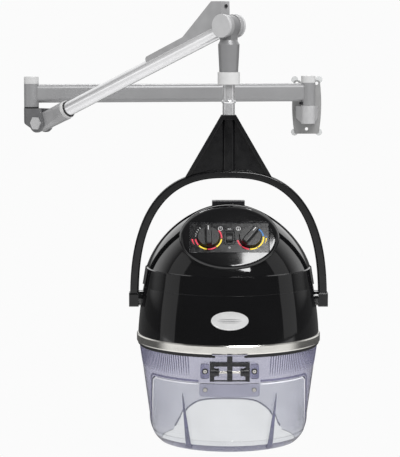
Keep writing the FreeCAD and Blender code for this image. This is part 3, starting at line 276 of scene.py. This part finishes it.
# CAD nodes whose finish differs from their slot's
NODE_FINISH = {
    "elbow_fork": "fork_grey", "head_discs": "disc_grey", "elbow_caps": "disc_grey",
    "wall_saddle": "disc_grey", "control_panel": "panel_black", "drop_tube": "drop_grey",
    "visor": "visor_tint",
}
for name, node in frame["nodes"].items():
    record_slot = node.material_slots[0].material.name.split(".")[0]
    node.material_slots[0].material = materials[NODE_FINISH.get(name, record_slot)]


# Mesh helpers -------------------------------------------------------------------------------------


def piece(name, vertices, faces, body, finish_name, smooth=True):
    """New mesh piece with outward faces that rides on a CAD body."""
    mesh = bpy.data.meshes.new(name)
    mesh.from_pydata([tuple(v) for v in vertices], [], faces)
    work = bmesh.new()
    work.from_mesh(mesh)
    bmesh.ops.recalc_face_normals(work, faces=work.faces)
    work.to_mesh(mesh)
    work.free()
    mesh.polygons.foreach_set("use_smooth", [smooth] * len(mesh.polygons))
    if smooth:
        mesh.set_sharp_from_angle(angle=math.radians(40))
    thing = bpy.data.objects.new(name, mesh)
    bpy.context.scene.collection.objects.link(thing)
    mesh.materials.append(materials[finish_name])
    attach(thing, body)
    return thing


class Shape:
    """Vertices and faces gathered from several simple runs of sections."""

    def __init__(self):
        self.vertices = []
        self.faces = []

    def run(self, sections, closed=False, capped=True):
        """Skin between sections, which are equal-length rings of points."""
        base, count = len(self.vertices), len(sections[0])
        for section in sections:
            self.vertices.extend(section)
        last = len(sections) if closed else len(sections) - 1
        for i in range(last):
            a, b = base + i * count, base + (i + 1) % len(sections) * count
            for k in range(count):
                n = (k + 1) % count
                self.faces.append((a + k, a + n, b + n, b + k))
        if capped and not closed:
            end = base + (len(sections) - 1) * count
            self.faces.append(tuple(range(base + count - 1, base - 1, -1)))
            self.faces.append(tuple(range(end, end + count)))

    def tube(self, path, radius, sides=8, closed=False, flat=1.0, outward=None):
        """Round or flattened bead along path, with an optional outward direction for each point."""
        sections = []
        for i, point in enumerate(path):
            ahead = path[(i + 1) % len(path)] if closed or i + 1 < len(path) else point
            behind = path[i - 1] if closed or i > 0 else point
            along = (ahead - behind).normalized()
            out = outward[i] if outward else UP
            side = along.cross(out).normalized()
            out = side.cross(along).normalized()
            r = radius(i / (len(path) - 1)) if callable(radius) else radius
            sections.append([
                point + side * r * math.cos(turn) + out * r * flat * math.sin(turn)
                for turn in (2 * math.pi * k / sides for k in range(sides))
            ])
        self.run(sections, closed)

    def lathe(self, centre, axis, outline, sides=96):
        """Ring turned about axis from an outline of (radius, distance along axis) points."""
        axis = axis.normalized()
        across = axis.orthogonal().normalized()
        other = axis.cross(across)
        sections = []
        for k in range(sides):
            angle = 2 * math.pi * k / sides
            outward = across * math.cos(angle) + other * math.sin(angle)
            sections.append([centre + outward * r + axis * d for r, d in outline])
        self.run(sections, closed=True)

    def make(self, name, body, finish_name, smooth=True):
        return piece(name, self.vertices, self.faces, body, finish_name, smooth)


def surface_of(*names):
    """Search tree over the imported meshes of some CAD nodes."""
    vertices, polygons = [], []
    for name in names:
        mesh = frame["nodes"][name].data
        base = len(vertices)
        vertices.extend(v.co.copy() for v in mesh.vertices)
        polygons.extend([base + i for i in p.vertices] for p in mesh.polygons)
    return BVHTree.FromPolygons(vertices, polygons)


def skirt_radius(z):
    """Outer radius of the clear wall at height z, for the straight part and the curve below it."""
    if z >= SKIRT_MID_Z:
        return SKIRT_MID_R + (SKIRT_TOP_R - SKIRT_MID_R) * (z - SKIRT_MID_Z) / (SEAL_Z - SKIRT_MID_Z)
    hit = SKIRT.ray_cast(HEAD + Vector((-0.3, 0.02, z)), RIGHT)[0]
    return abs((hit or Vector((HEAD_X - SKIRT_MID_R, HEAD_Y, z))).x - HEAD_X) + 0.0005


def on_skirt(y, z, side, lift=0.0):
    """Point on the clear wall at y ahead of the hood axis and height z."""
    radius = skirt_radius(z) + lift
    x = math.sqrt(max(0.0, radius * radius - y * y))
    return Vector((HEAD_X + side * x, HEAD_Y + y, z)), Vector((side * x, y, 0)).normalized()


# Clear skirt and visor ----------------------------------------------------------------------------

SKIRT = surface_of("skirt", "visor")
FLUTE_TOP_Z = SEAL_Z - 2.0 * MM
FLUTE_FOOT_Z = SEAL_Z - 47.0 * MM
FLUTE_COUNT = 200
FLUTE_CLEAR_X = 84.0 * MM


def make_flutes():
    """Upright flutes round the top of the clear wall, which fade out downwards; their darker plastic is
    partly painted shade from the dark inside.
    """
    flutes = Shape()
    for k in range(FLUTE_COUNT):
        angle = 2 * math.pi * k / FLUTE_COUNT
        outward = Vector((math.cos(angle), math.sin(angle), 0))
        if outward.y < 0 and abs(outward.x) * SKIRT_TOP_R < FLUTE_CLEAR_X:
            continue
        path = []
        for step in range(6):
            z = FLUTE_TOP_Z + (FLUTE_FOOT_Z - FLUTE_TOP_Z) * step / 5
            path.append(HEAD + outward * (skirt_radius(z) - 0.1 * MM) + UP * z)
        flutes.tube(path, lambda t: 1.25 * MM * (1 - 0.75 * t ** 4), 6, outward=[outward] * 6)
    return flutes.make("skirt_flutes", "hood", "rib_tint")


def window_path(inset, side, z_foot):
    """Bead path up one side of the visor's edge, round its corner and along its top."""
    top_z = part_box("visor")[1].z - inset
    top_y, foot_y, corner = -89.5 * MM - inset, -28.5 * MM - inset, 17.0 * MM
    slope = (foot_y - top_y) / (top_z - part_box("visor")[0].z)
    points = []
    for k in range(15):
        z = z_foot + (top_z - corner - z_foot) * k / 14
        points.append((top_y + slope * (top_z - z), z))
    y0 = points[-1][0]
    for k in range(1, 9):
        turn = math.pi / 2 * k / 8
        points.append((y0 - corner * (1 - math.cos(turn)), top_z - corner * (1 - math.sin(turn))))
    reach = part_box("hinge_leaf")[1].x - HEAD_X + 2 * MM
    last_y = -math.sqrt(skirt_radius(top_z) ** 2 - reach ** 2)
    start_y = points[-1][0]
    for k in range(1, 13):
        points.append((start_y + (last_y - start_y) * k / 12, top_z))
    return [on_skirt(y, z, side) for y, z in points]


def make_window_beads():
    """Bead along the visor's edge, whiter as a painted highlight, and frame bead round the opening that it
    closes, darkened with painted shade.
    """
    foot_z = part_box("visor")[0].z + 4 * MM
    for name, inset, body, finish_name, r in (("visor_edge_bead", 2.6 * MM, "visor", "edge_light", 1.3 * MM),
                                              ("window_frame_bead", -4.5 * MM, "hood", "rib_tint", 2.2 * MM)):
        beads = Shape()
        for side in (-1, 1):
            path = window_path(inset, side, foot_z)
            beads.tube([p for p, _ in path], r, 8, flat=0.6, outward=[o for _, o in path])
        beads.make(name, body, finish_name)


def make_seal_lip():
    """Black lip of the seal on the clear wall, open in front of the hinge post."""
    lip = Shape()
    open_half = math.asin(31.0 * MM / SKIRT_TOP_R)
    sections = []
    for k in range(181):
        angle = -math.pi / 2 + open_half + (2 * math.pi - 2 * open_half) * k / 180
        outward = Vector((math.cos(angle), math.sin(angle), 0))
        sections.append([HEAD + outward * (SKIRT_TOP_R + r * MM) + UP * (SEAL_Z + z * MM)
                         for r, z in ((-0.8, 0.4), (0.9, 0.4), (0.9, -2.6), (0.3, -4.2), (-0.8, -4.2))])
    lip.run(sections)
    lip.make("seal_lip", "hood", "seal_rubber")


def make_fins():
    """Face and edges of the two tapered fins on the visor, darkened as painted shade."""
    fins = Shape()
    low_z, top_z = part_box("visor")[0].z + 5 * MM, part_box("visor")[1].z - 29 * MM
    for side in (-1, 1):
        sections = []
        for k in range(15):
            t = k / 14
            z = top_z + (low_z - top_z) * t
            middle, half = (100.0 - 14.0 * t) * MM, (0.9 + 4.8 * t) * MM
            radius = skirt_radius(z) + 6.0 * MM * min(1.0, 0.25 + 2.0 * t)
            section = []
            for x, out in ((middle - half, 0.25), (middle + half, 0.25),
                           (middle + half, -2.5), (middle - half, -2.5)):
                y = -math.sqrt((radius + out * MM) ** 2 - x * x)
                section.append(Vector((HEAD_X + side * x, HEAD_Y + y, z)))
            sections.append(section)
        fins.run(sections)
    fins.make("visor_fin_faces", "visor", "fin_tint", smooth=False)


def make_hinge_details():
    """Black knuckles at the ends of the hinge, its lower bar, and cups under the screw heads."""
    pin_low, pin_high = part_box("hinge_pin")
    axis_point = Vector((HEAD_X, (pin_low.y + pin_high.y) / 2, (pin_low.z + pin_high.z) / 2))
    knuckles = Shape()
    for side in (-1, 1):
        outline = [(7.6, 22.5), (8.4, 23.0), (8.4, 26.0), (7.9, 26.5), (7.9, 29.5), (9.2, 30.0), (9.2, 40.8),
                   (8.0, 42.2), (3.2, 42.2), (3.2, 32.8), (7.6, 32.8)]
        knuckles.lathe(axis_point, RIGHT * side, [(r * MM, d * MM) for r, d in outline], 40)
    for half_x, y, z, r in ((42.0, 3.2, 16.0, 4.6), (40.5, 1.0, -18.2, 1.7)):
        bar = axis_point + Vector((0, y * MM, z * MM))
        knuckles.tube([bar + RIGHT * x * half_x * MM for x in (-1, -0.98, 0, 0.98, 1)], r * MM, 12)
    for x in (-3.0, 3.0):
        outline = [(3.2, -2.6), (8.3, -2.6), (8.3, 2.6), (3.2, 2.6)]
        knuckles.lathe(axis_point + RIGHT * x * MM, RIGHT, [(r * MM, d * MM) for r, d in outline], 40)
    knuckles.make("hinge_knuckles", "hood", "trim_black")
    for node, body, radius, height in (("ear_screws", "hood", 6.4, 1.7), ("leaf_screws", "visor", 5.0, 1.0)):
        low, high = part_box(node)
        cups = Shape()
        for x in (low.x + SCREW_HEAD_R, high.x - SCREW_HEAD_R):
            base = Vector((x, low.y + 2.6 * MM, (low.z + high.z) / 2))
            outline = [(3.7, -0.2), (radius, -0.2), (radius * 0.93, height), (3.7, height)]
            cups.lathe(base, FRONT, [(r * MM, d * MM) for r, d in outline], 32)
        cups.make(node[:-7] + "_screw_cups", body, "trim_black")


def smoothed(points, times=3):
    """Corner-cut copy of an open run of (x, z) points."""
    for _ in range(times):
        cut = [points[0]]
        for (x0, z0), (x1, z1) in zip(points, points[1:]):
            cut += [(0.75 * x0 + 0.25 * x1, 0.75 * z0 + 0.25 * z1),
                    (0.25 * x0 + 0.75 * x1, 0.25 * z0 + 0.75 * z1)]
        points = cut + [points[-1]]
    return points


def make_neck_edge():
    """Thickened edge of the neck notch in the rear of the clear wall, darkened as painted shade."""
    outline = [(-119.5, -710), (-101, -685.5), (-84, -673), (-62, -663), (0, -662.5),
               (62, -663), (84, -673), (101, -685.5), (119.5, -710)]
    path, outward = [], []
    for x, z in smoothed([(x * MM, z * MM) for x, z in outline]):
        radius = skirt_radius(z) - 1.5 * MM
        out = Vector((x, math.sqrt(radius * radius - x * x), 0))
        path.append(HEAD + out + UP * z)
        outward.append(out.normalized())
    edge = Shape()
    edge.tube(path, 1.9 * MM, 8, outward=outward)
    edge.make("neck_notch_edge", "hood", "fin_tint")


def make_visor_foot():
    """Thicker band along the foot of the visor, in darker plastic that carries painted shade."""
    foot_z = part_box("visor")[0].z
    band = Shape()
    sections = []
    half = math.acos(34.0 / 155.0)
    for k in range(73):
        angle = -math.pi / 2 - half + 2 * half * k / 72
        outward = Vector((math.cos(angle), math.sin(angle), 0))
        section = []
        for rise, out in ((1.0, 1.9), (8.0, 1.7), (15.5, 0.3), (15.5, -0.6), (1.0, -0.6)):
            z = foot_z + rise * MM
            section.append(HEAD + outward * (skirt_radius(z) + out * MM) + UP * z)
        sections.append(section)
    band.run(sections)
    band.make("visor_foot_band", "visor", "rib_tint")


def make_screw_recesses():
    """Dark crosses on the heads of the hinge screws: painted shade in place of their cross recesses."""
    for node, body in (("ear_screws", "hood"), ("leaf_screws", "visor")):
        low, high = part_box(node)
        cross = Shape()
        for x in (low.x + SCREW_HEAD_R, high.x - SCREW_HEAD_R):
            centre = Vector((x, low.y, (low.z + high.z) / 2))
            for turn in (math.radians(20), math.radians(110)):
                along = Vector((math.cos(turn), 0, math.sin(turn)))
                across = Vector((-math.sin(turn), 0, math.cos(turn)))
                sections = []
                for reach_along in (-2.3 * MM, 2.3 * MM):
                    sections.append([
                        centre + along * reach_along + across * w * 0.42 * MM + Vector((0, d * MM, 0))
                        for w, d in ((-1, 0.2), (1, 0.2), (1, -0.12), (-1, -0.12))
                    ])
                cross.run(sections)
        cross.make(node[:-7] + "_screw_recesses", body, "engraved", smooth=False)


# Control panel ------------------------------------------------------------------------------------

def panel_point(x, y, z):
    """Point at x and y on the panel and z above its face."""
    return PANEL_CENTRE + RIGHT * x + PANEL_UP * y + PANEL_OUT * z


def add_arc(shape, centre_x, start, end, inner, outer, inner_end=None, outer_end=None):
    """Raised printed arc round a dial, from start to end degrees, that may taper."""
    steps = max(3, int(abs(end - start) / 3))
    inner_end = inner if inner_end is None else inner_end
    outer_end = outer if outer_end is None else outer_end
    sections = []
    for k in range(steps + 1):
        t = k / steps
        angle = math.radians(start + (end - start) * t)
        c, s = math.cos(angle), math.sin(angle)
        r0, r1 = inner + (inner_end - inner) * t, outer + (outer_end - outer) * t
        sections.append([panel_point(centre_x + r * c, r * s, z * MM)
                         for r, z in ((r0, -0.1), (r1, -0.1), (r1, 0.18), (r0, 0.18))])
    shape.run(sections)


def add_stroke(shape, points, width):
    """Raised printed stroke through (x, y) points on the panel."""
    path = [panel_point(x, y, 0.06 * MM) for x, y in points]
    shape.tube(path, width / 2, 6, flat=0.4, outward=[PANEL_OUT] * len(path))


def circle(x, y, r, steps=24, start=0.0, end=360.0):
    return [(x + r * math.cos(math.radians(start + (end - start) * k / steps)),
             y + r * math.sin(math.radians(start + (end - start) * k / steps))) for k in range(steps + 1)]


def make_scales():
    """Coloured arcs round the dials and plain white marks beside them."""
    ink = {"red": Shape(), "yellow": Shape(), "blue": Shape()}
    inner, outer = 26.2 * MM, 29.4 * MM
    for x, colour, start, end in (
            (-KNOB_X, "red", 39, -3), (-KNOB_X, "yellow", -7, -53), (-KNOB_X, "red", -57, -94),
            (-KNOB_X, "yellow", -98, -136), (-KNOB_X, "red", -140, -172),
            (KNOB_X, "red", -167, -134), (KNOB_X, "red", -130, -96), (KNOB_X, "yellow", -92, -59),
            (KNOB_X, "yellow", -55, 4), (KNOB_X, "blue", 8, 47)):
        add_arc(ink[colour], x, start, end, inner, outer)
    add_arc(ink["red"], -KNOB_X, -174, -150, 33.0 * MM, 37.0 * MM, 34.0 * MM, 34.4 * MM)
    add_arc(ink["yellow"], KNOB_X, -2, -24, 32.6 * MM, 35.2 * MM, 33.6 * MM, 34.0 * MM)
    add_arc(ink["blue"], KNOB_X, 8, 1, 33.6 * MM, 34.0 * MM, 32.8 * MM, 35.0 * MM)
    for colour, shape in ink.items():
        shape.make("scale_" + colour, "hood", "ink_" + colour)

    white = Shape()
    for degrees, length in ((172, 2.4), (161, 3.0), (150, 3.6), (139, 4.2), (128, 4.8)):
        c, s = math.cos(math.radians(degrees)), math.sin(math.radians(degrees))
        add_stroke(white, [(-KNOB_X + r * MM * c, r * MM * s) for r in (26.6, 26.6 + length)], 0.9 * MM)
    for x in (-19.0 * MM, 19.0 * MM):
        add_stroke(white, circle(x, 22.0 * MM, 4.4 * MM), 0.9 * MM)
    add_stroke(white, [(-19.0 * MM, 25.0 * MM), (-19.0 * MM, 22.0 * MM), (-16.8 * MM, 21.0 * MM)], 0.7 * MM)
    add_stroke(white, [(19.0 * MM, 25.2 * MM), (19.0 * MM, 20.6 * MM)], 0.8 * MM)
    add_stroke(white, circle(19.0 * MM, 20.0 * MM, 0.8 * MM, 10), 0.9 * MM)
    for x in (-2.6, 0.0, 2.6):
        add_stroke(white, [(x * MM, 19.6 * MM), (x * MM, 22.2 * MM)], 0.9 * MM)
    add_stroke(white, circle(0.0, -24.0 * MM, 1.7 * MM, 16), 0.8 * MM)
    white.make("scale_marks", "hood", "ink_white")


def rounded_rectangle(half_w, half_h, radius, steps=6):
    points = []
    for cx, cy, start in ((half_w, half_h, 0), (-half_w, half_h, 90),
                          (-half_w, -half_h, 180), (half_w, -half_h, 270)):
        centre = (cx - math.copysign(radius, cx), cy - math.copysign(radius, cy))
        points += circle(*centre, radius, steps, start, start + 90)
    return points


def make_frames():
    """Narrow raised bezels round the panel and the rocker switch."""
    for name, half_w, half_h, corner, r, flat in (
            ("panel_bezel", PANEL_HALF_W - 0.9 * MM, PANEL_HALF_H - 0.9 * MM, 2.0 * MM, 0.9 * MM, 1.5),
            ("rocker_bezel", 11.6 * MM, 15.6 * MM, 2.0 * MM, 1.3 * MM, 0.9)):
        frame_shape = Shape()
        path = [panel_point(x, y, 0.1 * MM) for x, y in rounded_rectangle(half_w, half_h, corner)]
        frame_shape.tube(path, r, 8, closed=True, flat=flat, outward=[PANEL_OUT] * len(path))
        frame_shape.make(name, "hood", "trim_black")


def make_knob_details():
    """Grip ridges round each knob's skirt and a fine pointer line on its bar."""
    for name, body, x, turn in (("timer", "timer_dial", -KNOB_X, 2.0),
                                ("temperature", "temperature_dial", KNOB_X, -38.0)):
        ridges = Shape()
        for k in range(60):
            angle = 2 * math.pi * k / 60
            outward = RIGHT * math.cos(angle) + PANEL_UP * math.sin(angle)
            path = [panel_point(x, 0, KNOB_PLANE + z * MM) + outward * r * MM
                    for r, z in ((23.85, -1.2), (23.2, 2.0), (22.6, 5.0))]
            ridges.tube(path, 0.55 * MM, 6, outward=[outward] * 3)
        ridges.make(name + "_knob_ridges", body, "knob_black")
        pointer = Shape()
        angle = math.radians(90 + turn)
        c, s = math.cos(angle), math.sin(angle)
        path = [panel_point(x + r * MM * c, r * MM * s, KNOB_PLANE + 17.0 * MM) for r in (9.0, 19.0)]
        pointer.tube(path, 0.7 * MM, 6, flat=0.3, outward=[PANEL_OUT] * 2)
        pointer.make(name + "_knob_pointer", body, "ink_white")


# Badge and small rings ------------------------------------------------------------------------------

def make_badge_details():
    """Raised rim and three plain lines on the badge."""
    low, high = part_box("badge")
    centre_z, half_w, half_h = (low.z + high.z) / 2, (high.x - low.x) / 2, (high.z - low.z) / 2
    face = surface_of("badge", "lower_shell")

    def on_badge(x, z):
        hit = face.ray_cast(Vector((HEAD_X + x, HEAD_Y - 0.5, centre_z + z)), Vector((0, 1, 0)))
        return hit[0]

    rim = Shape()
    path = []
    for k in range(96):
        angle = 2 * math.pi * k / 96
        path.append(on_badge((half_w - 1.4 * MM) * math.cos(angle), (half_h - 1.4 * MM) * math.sin(angle)))
    rim.tube(path, 1.0 * MM, 8, closed=True, flat=0.8, outward=[FRONT] * 96)
    rim.make("badge_rim", "hood", "badge_silver")
    strokes = Shape()
    for z, reach_x, r in ((3.6, 22.0, 0.55), (0.0, 26.0, 0.8), (-3.6, 22.0, 0.55)):
        path = [on_badge(reach_x * MM * (k / 12 - 1), z * MM) for k in range(25)]
        strokes.tube(path, lambda t, r=r: r * MM * (0.25 + 3.0 * t * (1 - t)), 6, flat=0.4,
                     outward=[FRONT] * 25)
    strokes.make("badge_strokes", "hood", "engraved")


SPINDLE_COLLAR_Z = 27.5 * MM


def make_rings():
    """Lips at the mouths of the lift arm's socket and of the drop tube's collar, and the spindle's collar."""
    pivot = Vector(JOINTS["lift"]["pos_m"])
    along = (Vector(JOINTS["head_level"]["pos_m"]) - pivot).normalized()
    lip = Shape()
    outline = [(16.5, 94.9), (18.6, 94.9), (19.2, 95.8), (18.2, 98.0), (16.5, 98.6)]
    lip.lathe(pivot, along, [(r * MM, d * MM) for r, d in outline])
    lip.make("socket_lip", "lift_arm", "seal_rubber")

    collar = Shape()
    outline = [(12.5, -3.6), (14.6, -3.2), (15.4, -1.5), (15.4, 1.5), (14.6, 3.2), (12.5, 3.6)]
    collar.lathe(HEAD + UP * SPINDLE_COLLAR_Z, UP, [(r * MM, d * MM) for r, d in outline])
    collar.make("spindle_collar", "yoke", "spindle_chrome")

    low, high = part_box("drop_collar")
    step = Shape()
    radius = (high.x - low.x) / 2
    outline = [(-2.2, -0.2), (0.35, 0.6), (0.35, 2.2), (-0.6, 2.8)]
    step.lathe(HEAD + UP * low.z, UP, [(radius + r * MM, d * MM) for r, d in outline])
    step.make("collar_lip", "drop_head", "cap_light")


make_flutes()
make_window_beads()
make_seal_lip()
make_fins()
make_neck_edge()
make_visor_foot()
make_hinge_details()
make_screw_recesses()
make_scales()
make_frames()
make_knob_details()
make_badge_details()
make_rings()


# Floor, light and camera --------------------------------------------------------------------------

FLOOR_R = 22
FLOOR_Z = -1.95
BACKGROUND = (0.965, 0.965, 0.965)
# Brightness of the surroundings in reflections: level and below, overhead, and behind the object
GLOSSY_LOW, GLOSSY_HIGH, GLOSSY_BEHIND = 0.07, 0.12, 0.80
# The key light hangs above and in front, aimed at the panel's height beside it
KEY_SIDE, KEY_FRONT, KEY_RISE = 0.765, -1.678, 2.051
# Camera at the photograph's viewing angle
CAMERA_PLACE = (-0.26463, -4.550, 0.16151)
CAMERA_DROP = math.radians(5.88)
CAMERA_LENS, CAMERA_SENSOR = 144.16, 36.0


def mirrored_ray(tree):
    """1 for a ray that a surface has reflected, and 0 for one that came straight or through clear plastic."""
    path = tree.nodes.new("ShaderNodeLightPath")
    only = tree.nodes.new("ShaderNodeMath")
    only.operation = "SUBTRACT"
    only.use_clamp = True
    tree.links.new(path.outputs["Is Glossy Ray"], only.inputs[0])
    tree.links.new(path.outputs["Is Transmission Ray"], only.inputs[1])
    return only.outputs[0]


def make_floor():
    """Round pale floor that fades into the surroundings."""
    floor = bpy.data.meshes.new("floor")
    turns = [2 * math.pi * k / 128 for k in range(128)]
    ring = [(FLOOR_R * math.cos(turn), FLOOR_R * math.sin(turn), 0) for turn in turns]
    floor.from_pydata(ring, [], [tuple(range(128))])
    thing = bpy.data.objects.new("floor", floor)
    thing.location = (HEAD_X, HEAD_Y, FLOOR_Z)
    bpy.context.scene.collection.objects.link(thing)
    n = Nodes("floor_pale")
    place = n.add("ShaderNodeTexCoord")
    distance = n.add("ShaderNodeVectorMath", operation="LENGTH")
    n.link(place.outputs["Object"], distance.inputs[0])
    fade = n.spread(distance.outputs["Value"], 0.0, 1.0, 1.2, 4.2)
    n.shader.inputs["Base Color"].default_value = (0.80, 0.80, 0.80, 1)
    n.shader.inputs["Roughness"].default_value = 0.7
    axes = n.add("ShaderNodeSeparateXYZ")
    n.link(place.outputs["Object"], axes.inputs[0])
    behind = n.spread(axes.outputs["Y"], 0.92, 0.10, -1.5, 1.0)
    strength = n.add("ShaderNodeMix")
    strength.inputs[2].default_value = 1.0
    n.link(mirrored_ray(n.tree), strength.inputs[0])
    n.link(behind, strength.inputs[3])
    glow = n.add("ShaderNodeEmission")
    glow.inputs["Color"].default_value = (*BACKGROUND, 1)
    n.link(strength.outputs[0], glow.inputs["Strength"])
    mix = n.add("ShaderNodeMixShader")
    n.link(fade, mix.inputs[0])
    n.link(n.shader.outputs[0], mix.inputs[1])
    n.link(glow.outputs[0], mix.inputs[2])
    n.link(mix.outputs[0], n.output.inputs["Surface"])
    floor.materials.append(n.material)


def make_world():
    """Pale surroundings, seen darker in reflections, as round a product in a studio."""
    world = bpy.data.worlds.new("studio")
    world.use_nodes = True
    bpy.context.scene.world = world
    tree = world.node_tree
    background = tree.nodes["Background"]
    background.inputs["Color"].default_value = (*BACKGROUND, 1)

    def ramp(source, from_low, from_high, low, high):
        node = tree.nodes.new("ShaderNodeMapRange")
        for key, value in (("From Min", from_low), ("From Max", from_high),
                           ("To Min", low), ("To Max", high)):
            node.inputs[key].default_value = value
        tree.links.new(source, node.inputs["Value"])
        return node.outputs["Result"]

    def combine(operation, first, second):
        node = tree.nodes.new("ShaderNodeMath")
        node.operation = operation
        tree.links.new(first, node.inputs[0])
        tree.links.new(second, node.inputs[1])
        return node.outputs[0]

    place = tree.nodes.new("ShaderNodeTexCoord")
    axes = tree.nodes.new("ShaderNodeSeparateXYZ")
    tree.links.new(place.outputs["Generated"], axes.inputs[0])
    overhead = ramp(axes.outputs["Z"], 0.30, 0.95, GLOSSY_LOW, GLOSSY_HIGH)
    behind = combine("MULTIPLY", ramp(axes.outputs["Y"], 0.15, 0.55, 0.0, GLOSSY_BEHIND),
                     ramp(axes.outputs["Z"], 0.0, 0.12, 0.0, 1.0))
    reflected = combine("ADD", overhead, behind)
    strength = tree.nodes.new("ShaderNodeMix")
    strength.inputs[2].default_value = 1.0
    tree.links.new(mirrored_ray(tree), strength.inputs[0])
    tree.links.new(reflected, strength.inputs[3])
    tree.links.new(strength.outputs[0], background.inputs["Strength"])


def add_softbox(name, place, aim, width, height, power):
    light = bpy.data.lights.new(name, "AREA")
    light.shape = "RECTANGLE"
    light.size = width
    light.size_y = height
    light.energy = power
    lamp = bpy.data.objects.new(name, light)
    lamp.location = place
    lamp.rotation_euler = (aim - Vector(place)).to_track_quat("-Z", "Y").to_euler()
    lamp.visible_camera = False
    bpy.context.scene.collection.objects.link(lamp)


hood_middle = HEAD + UP * -0.38
make_floor()
make_world()
add_softbox("key_above", PANEL_CENTRE + Vector((KEY_SIDE, KEY_FRONT, KEY_RISE)),
            PANEL_CENTRE + RIGHT * KEY_SIDE, 1.35, 1.2, 60)
add_softbox("left_strip", (-2.7, -0.9, 0.4), hood_middle, 1.2, 2.4, 3)
add_softbox("right_strip", (2.4, -0.9, 0.5), hood_middle, 1.2, 2.4, 3)
add_softbox("top_back", (-0.3, 1.2, 2.2), hood_middle, 1.6, 0.8, 30)

camera_data = bpy.data.cameras.new("camera")
camera_data.lens = CAMERA_LENS
camera_data.sensor_width = CAMERA_SENSOR
camera = bpy.data.objects.new("camera", camera_data)
camera.location = CAMERA_PLACE
camera.rotation_euler = (math.pi / 2 - CAMERA_DROP, 0, 0)
camera_data.clip_end = 60
bpy.context.scene.collection.objects.link(camera)
bpy.context.scene.camera = camera
bpy.context.scene.view_settings.view_transform = "Standard"
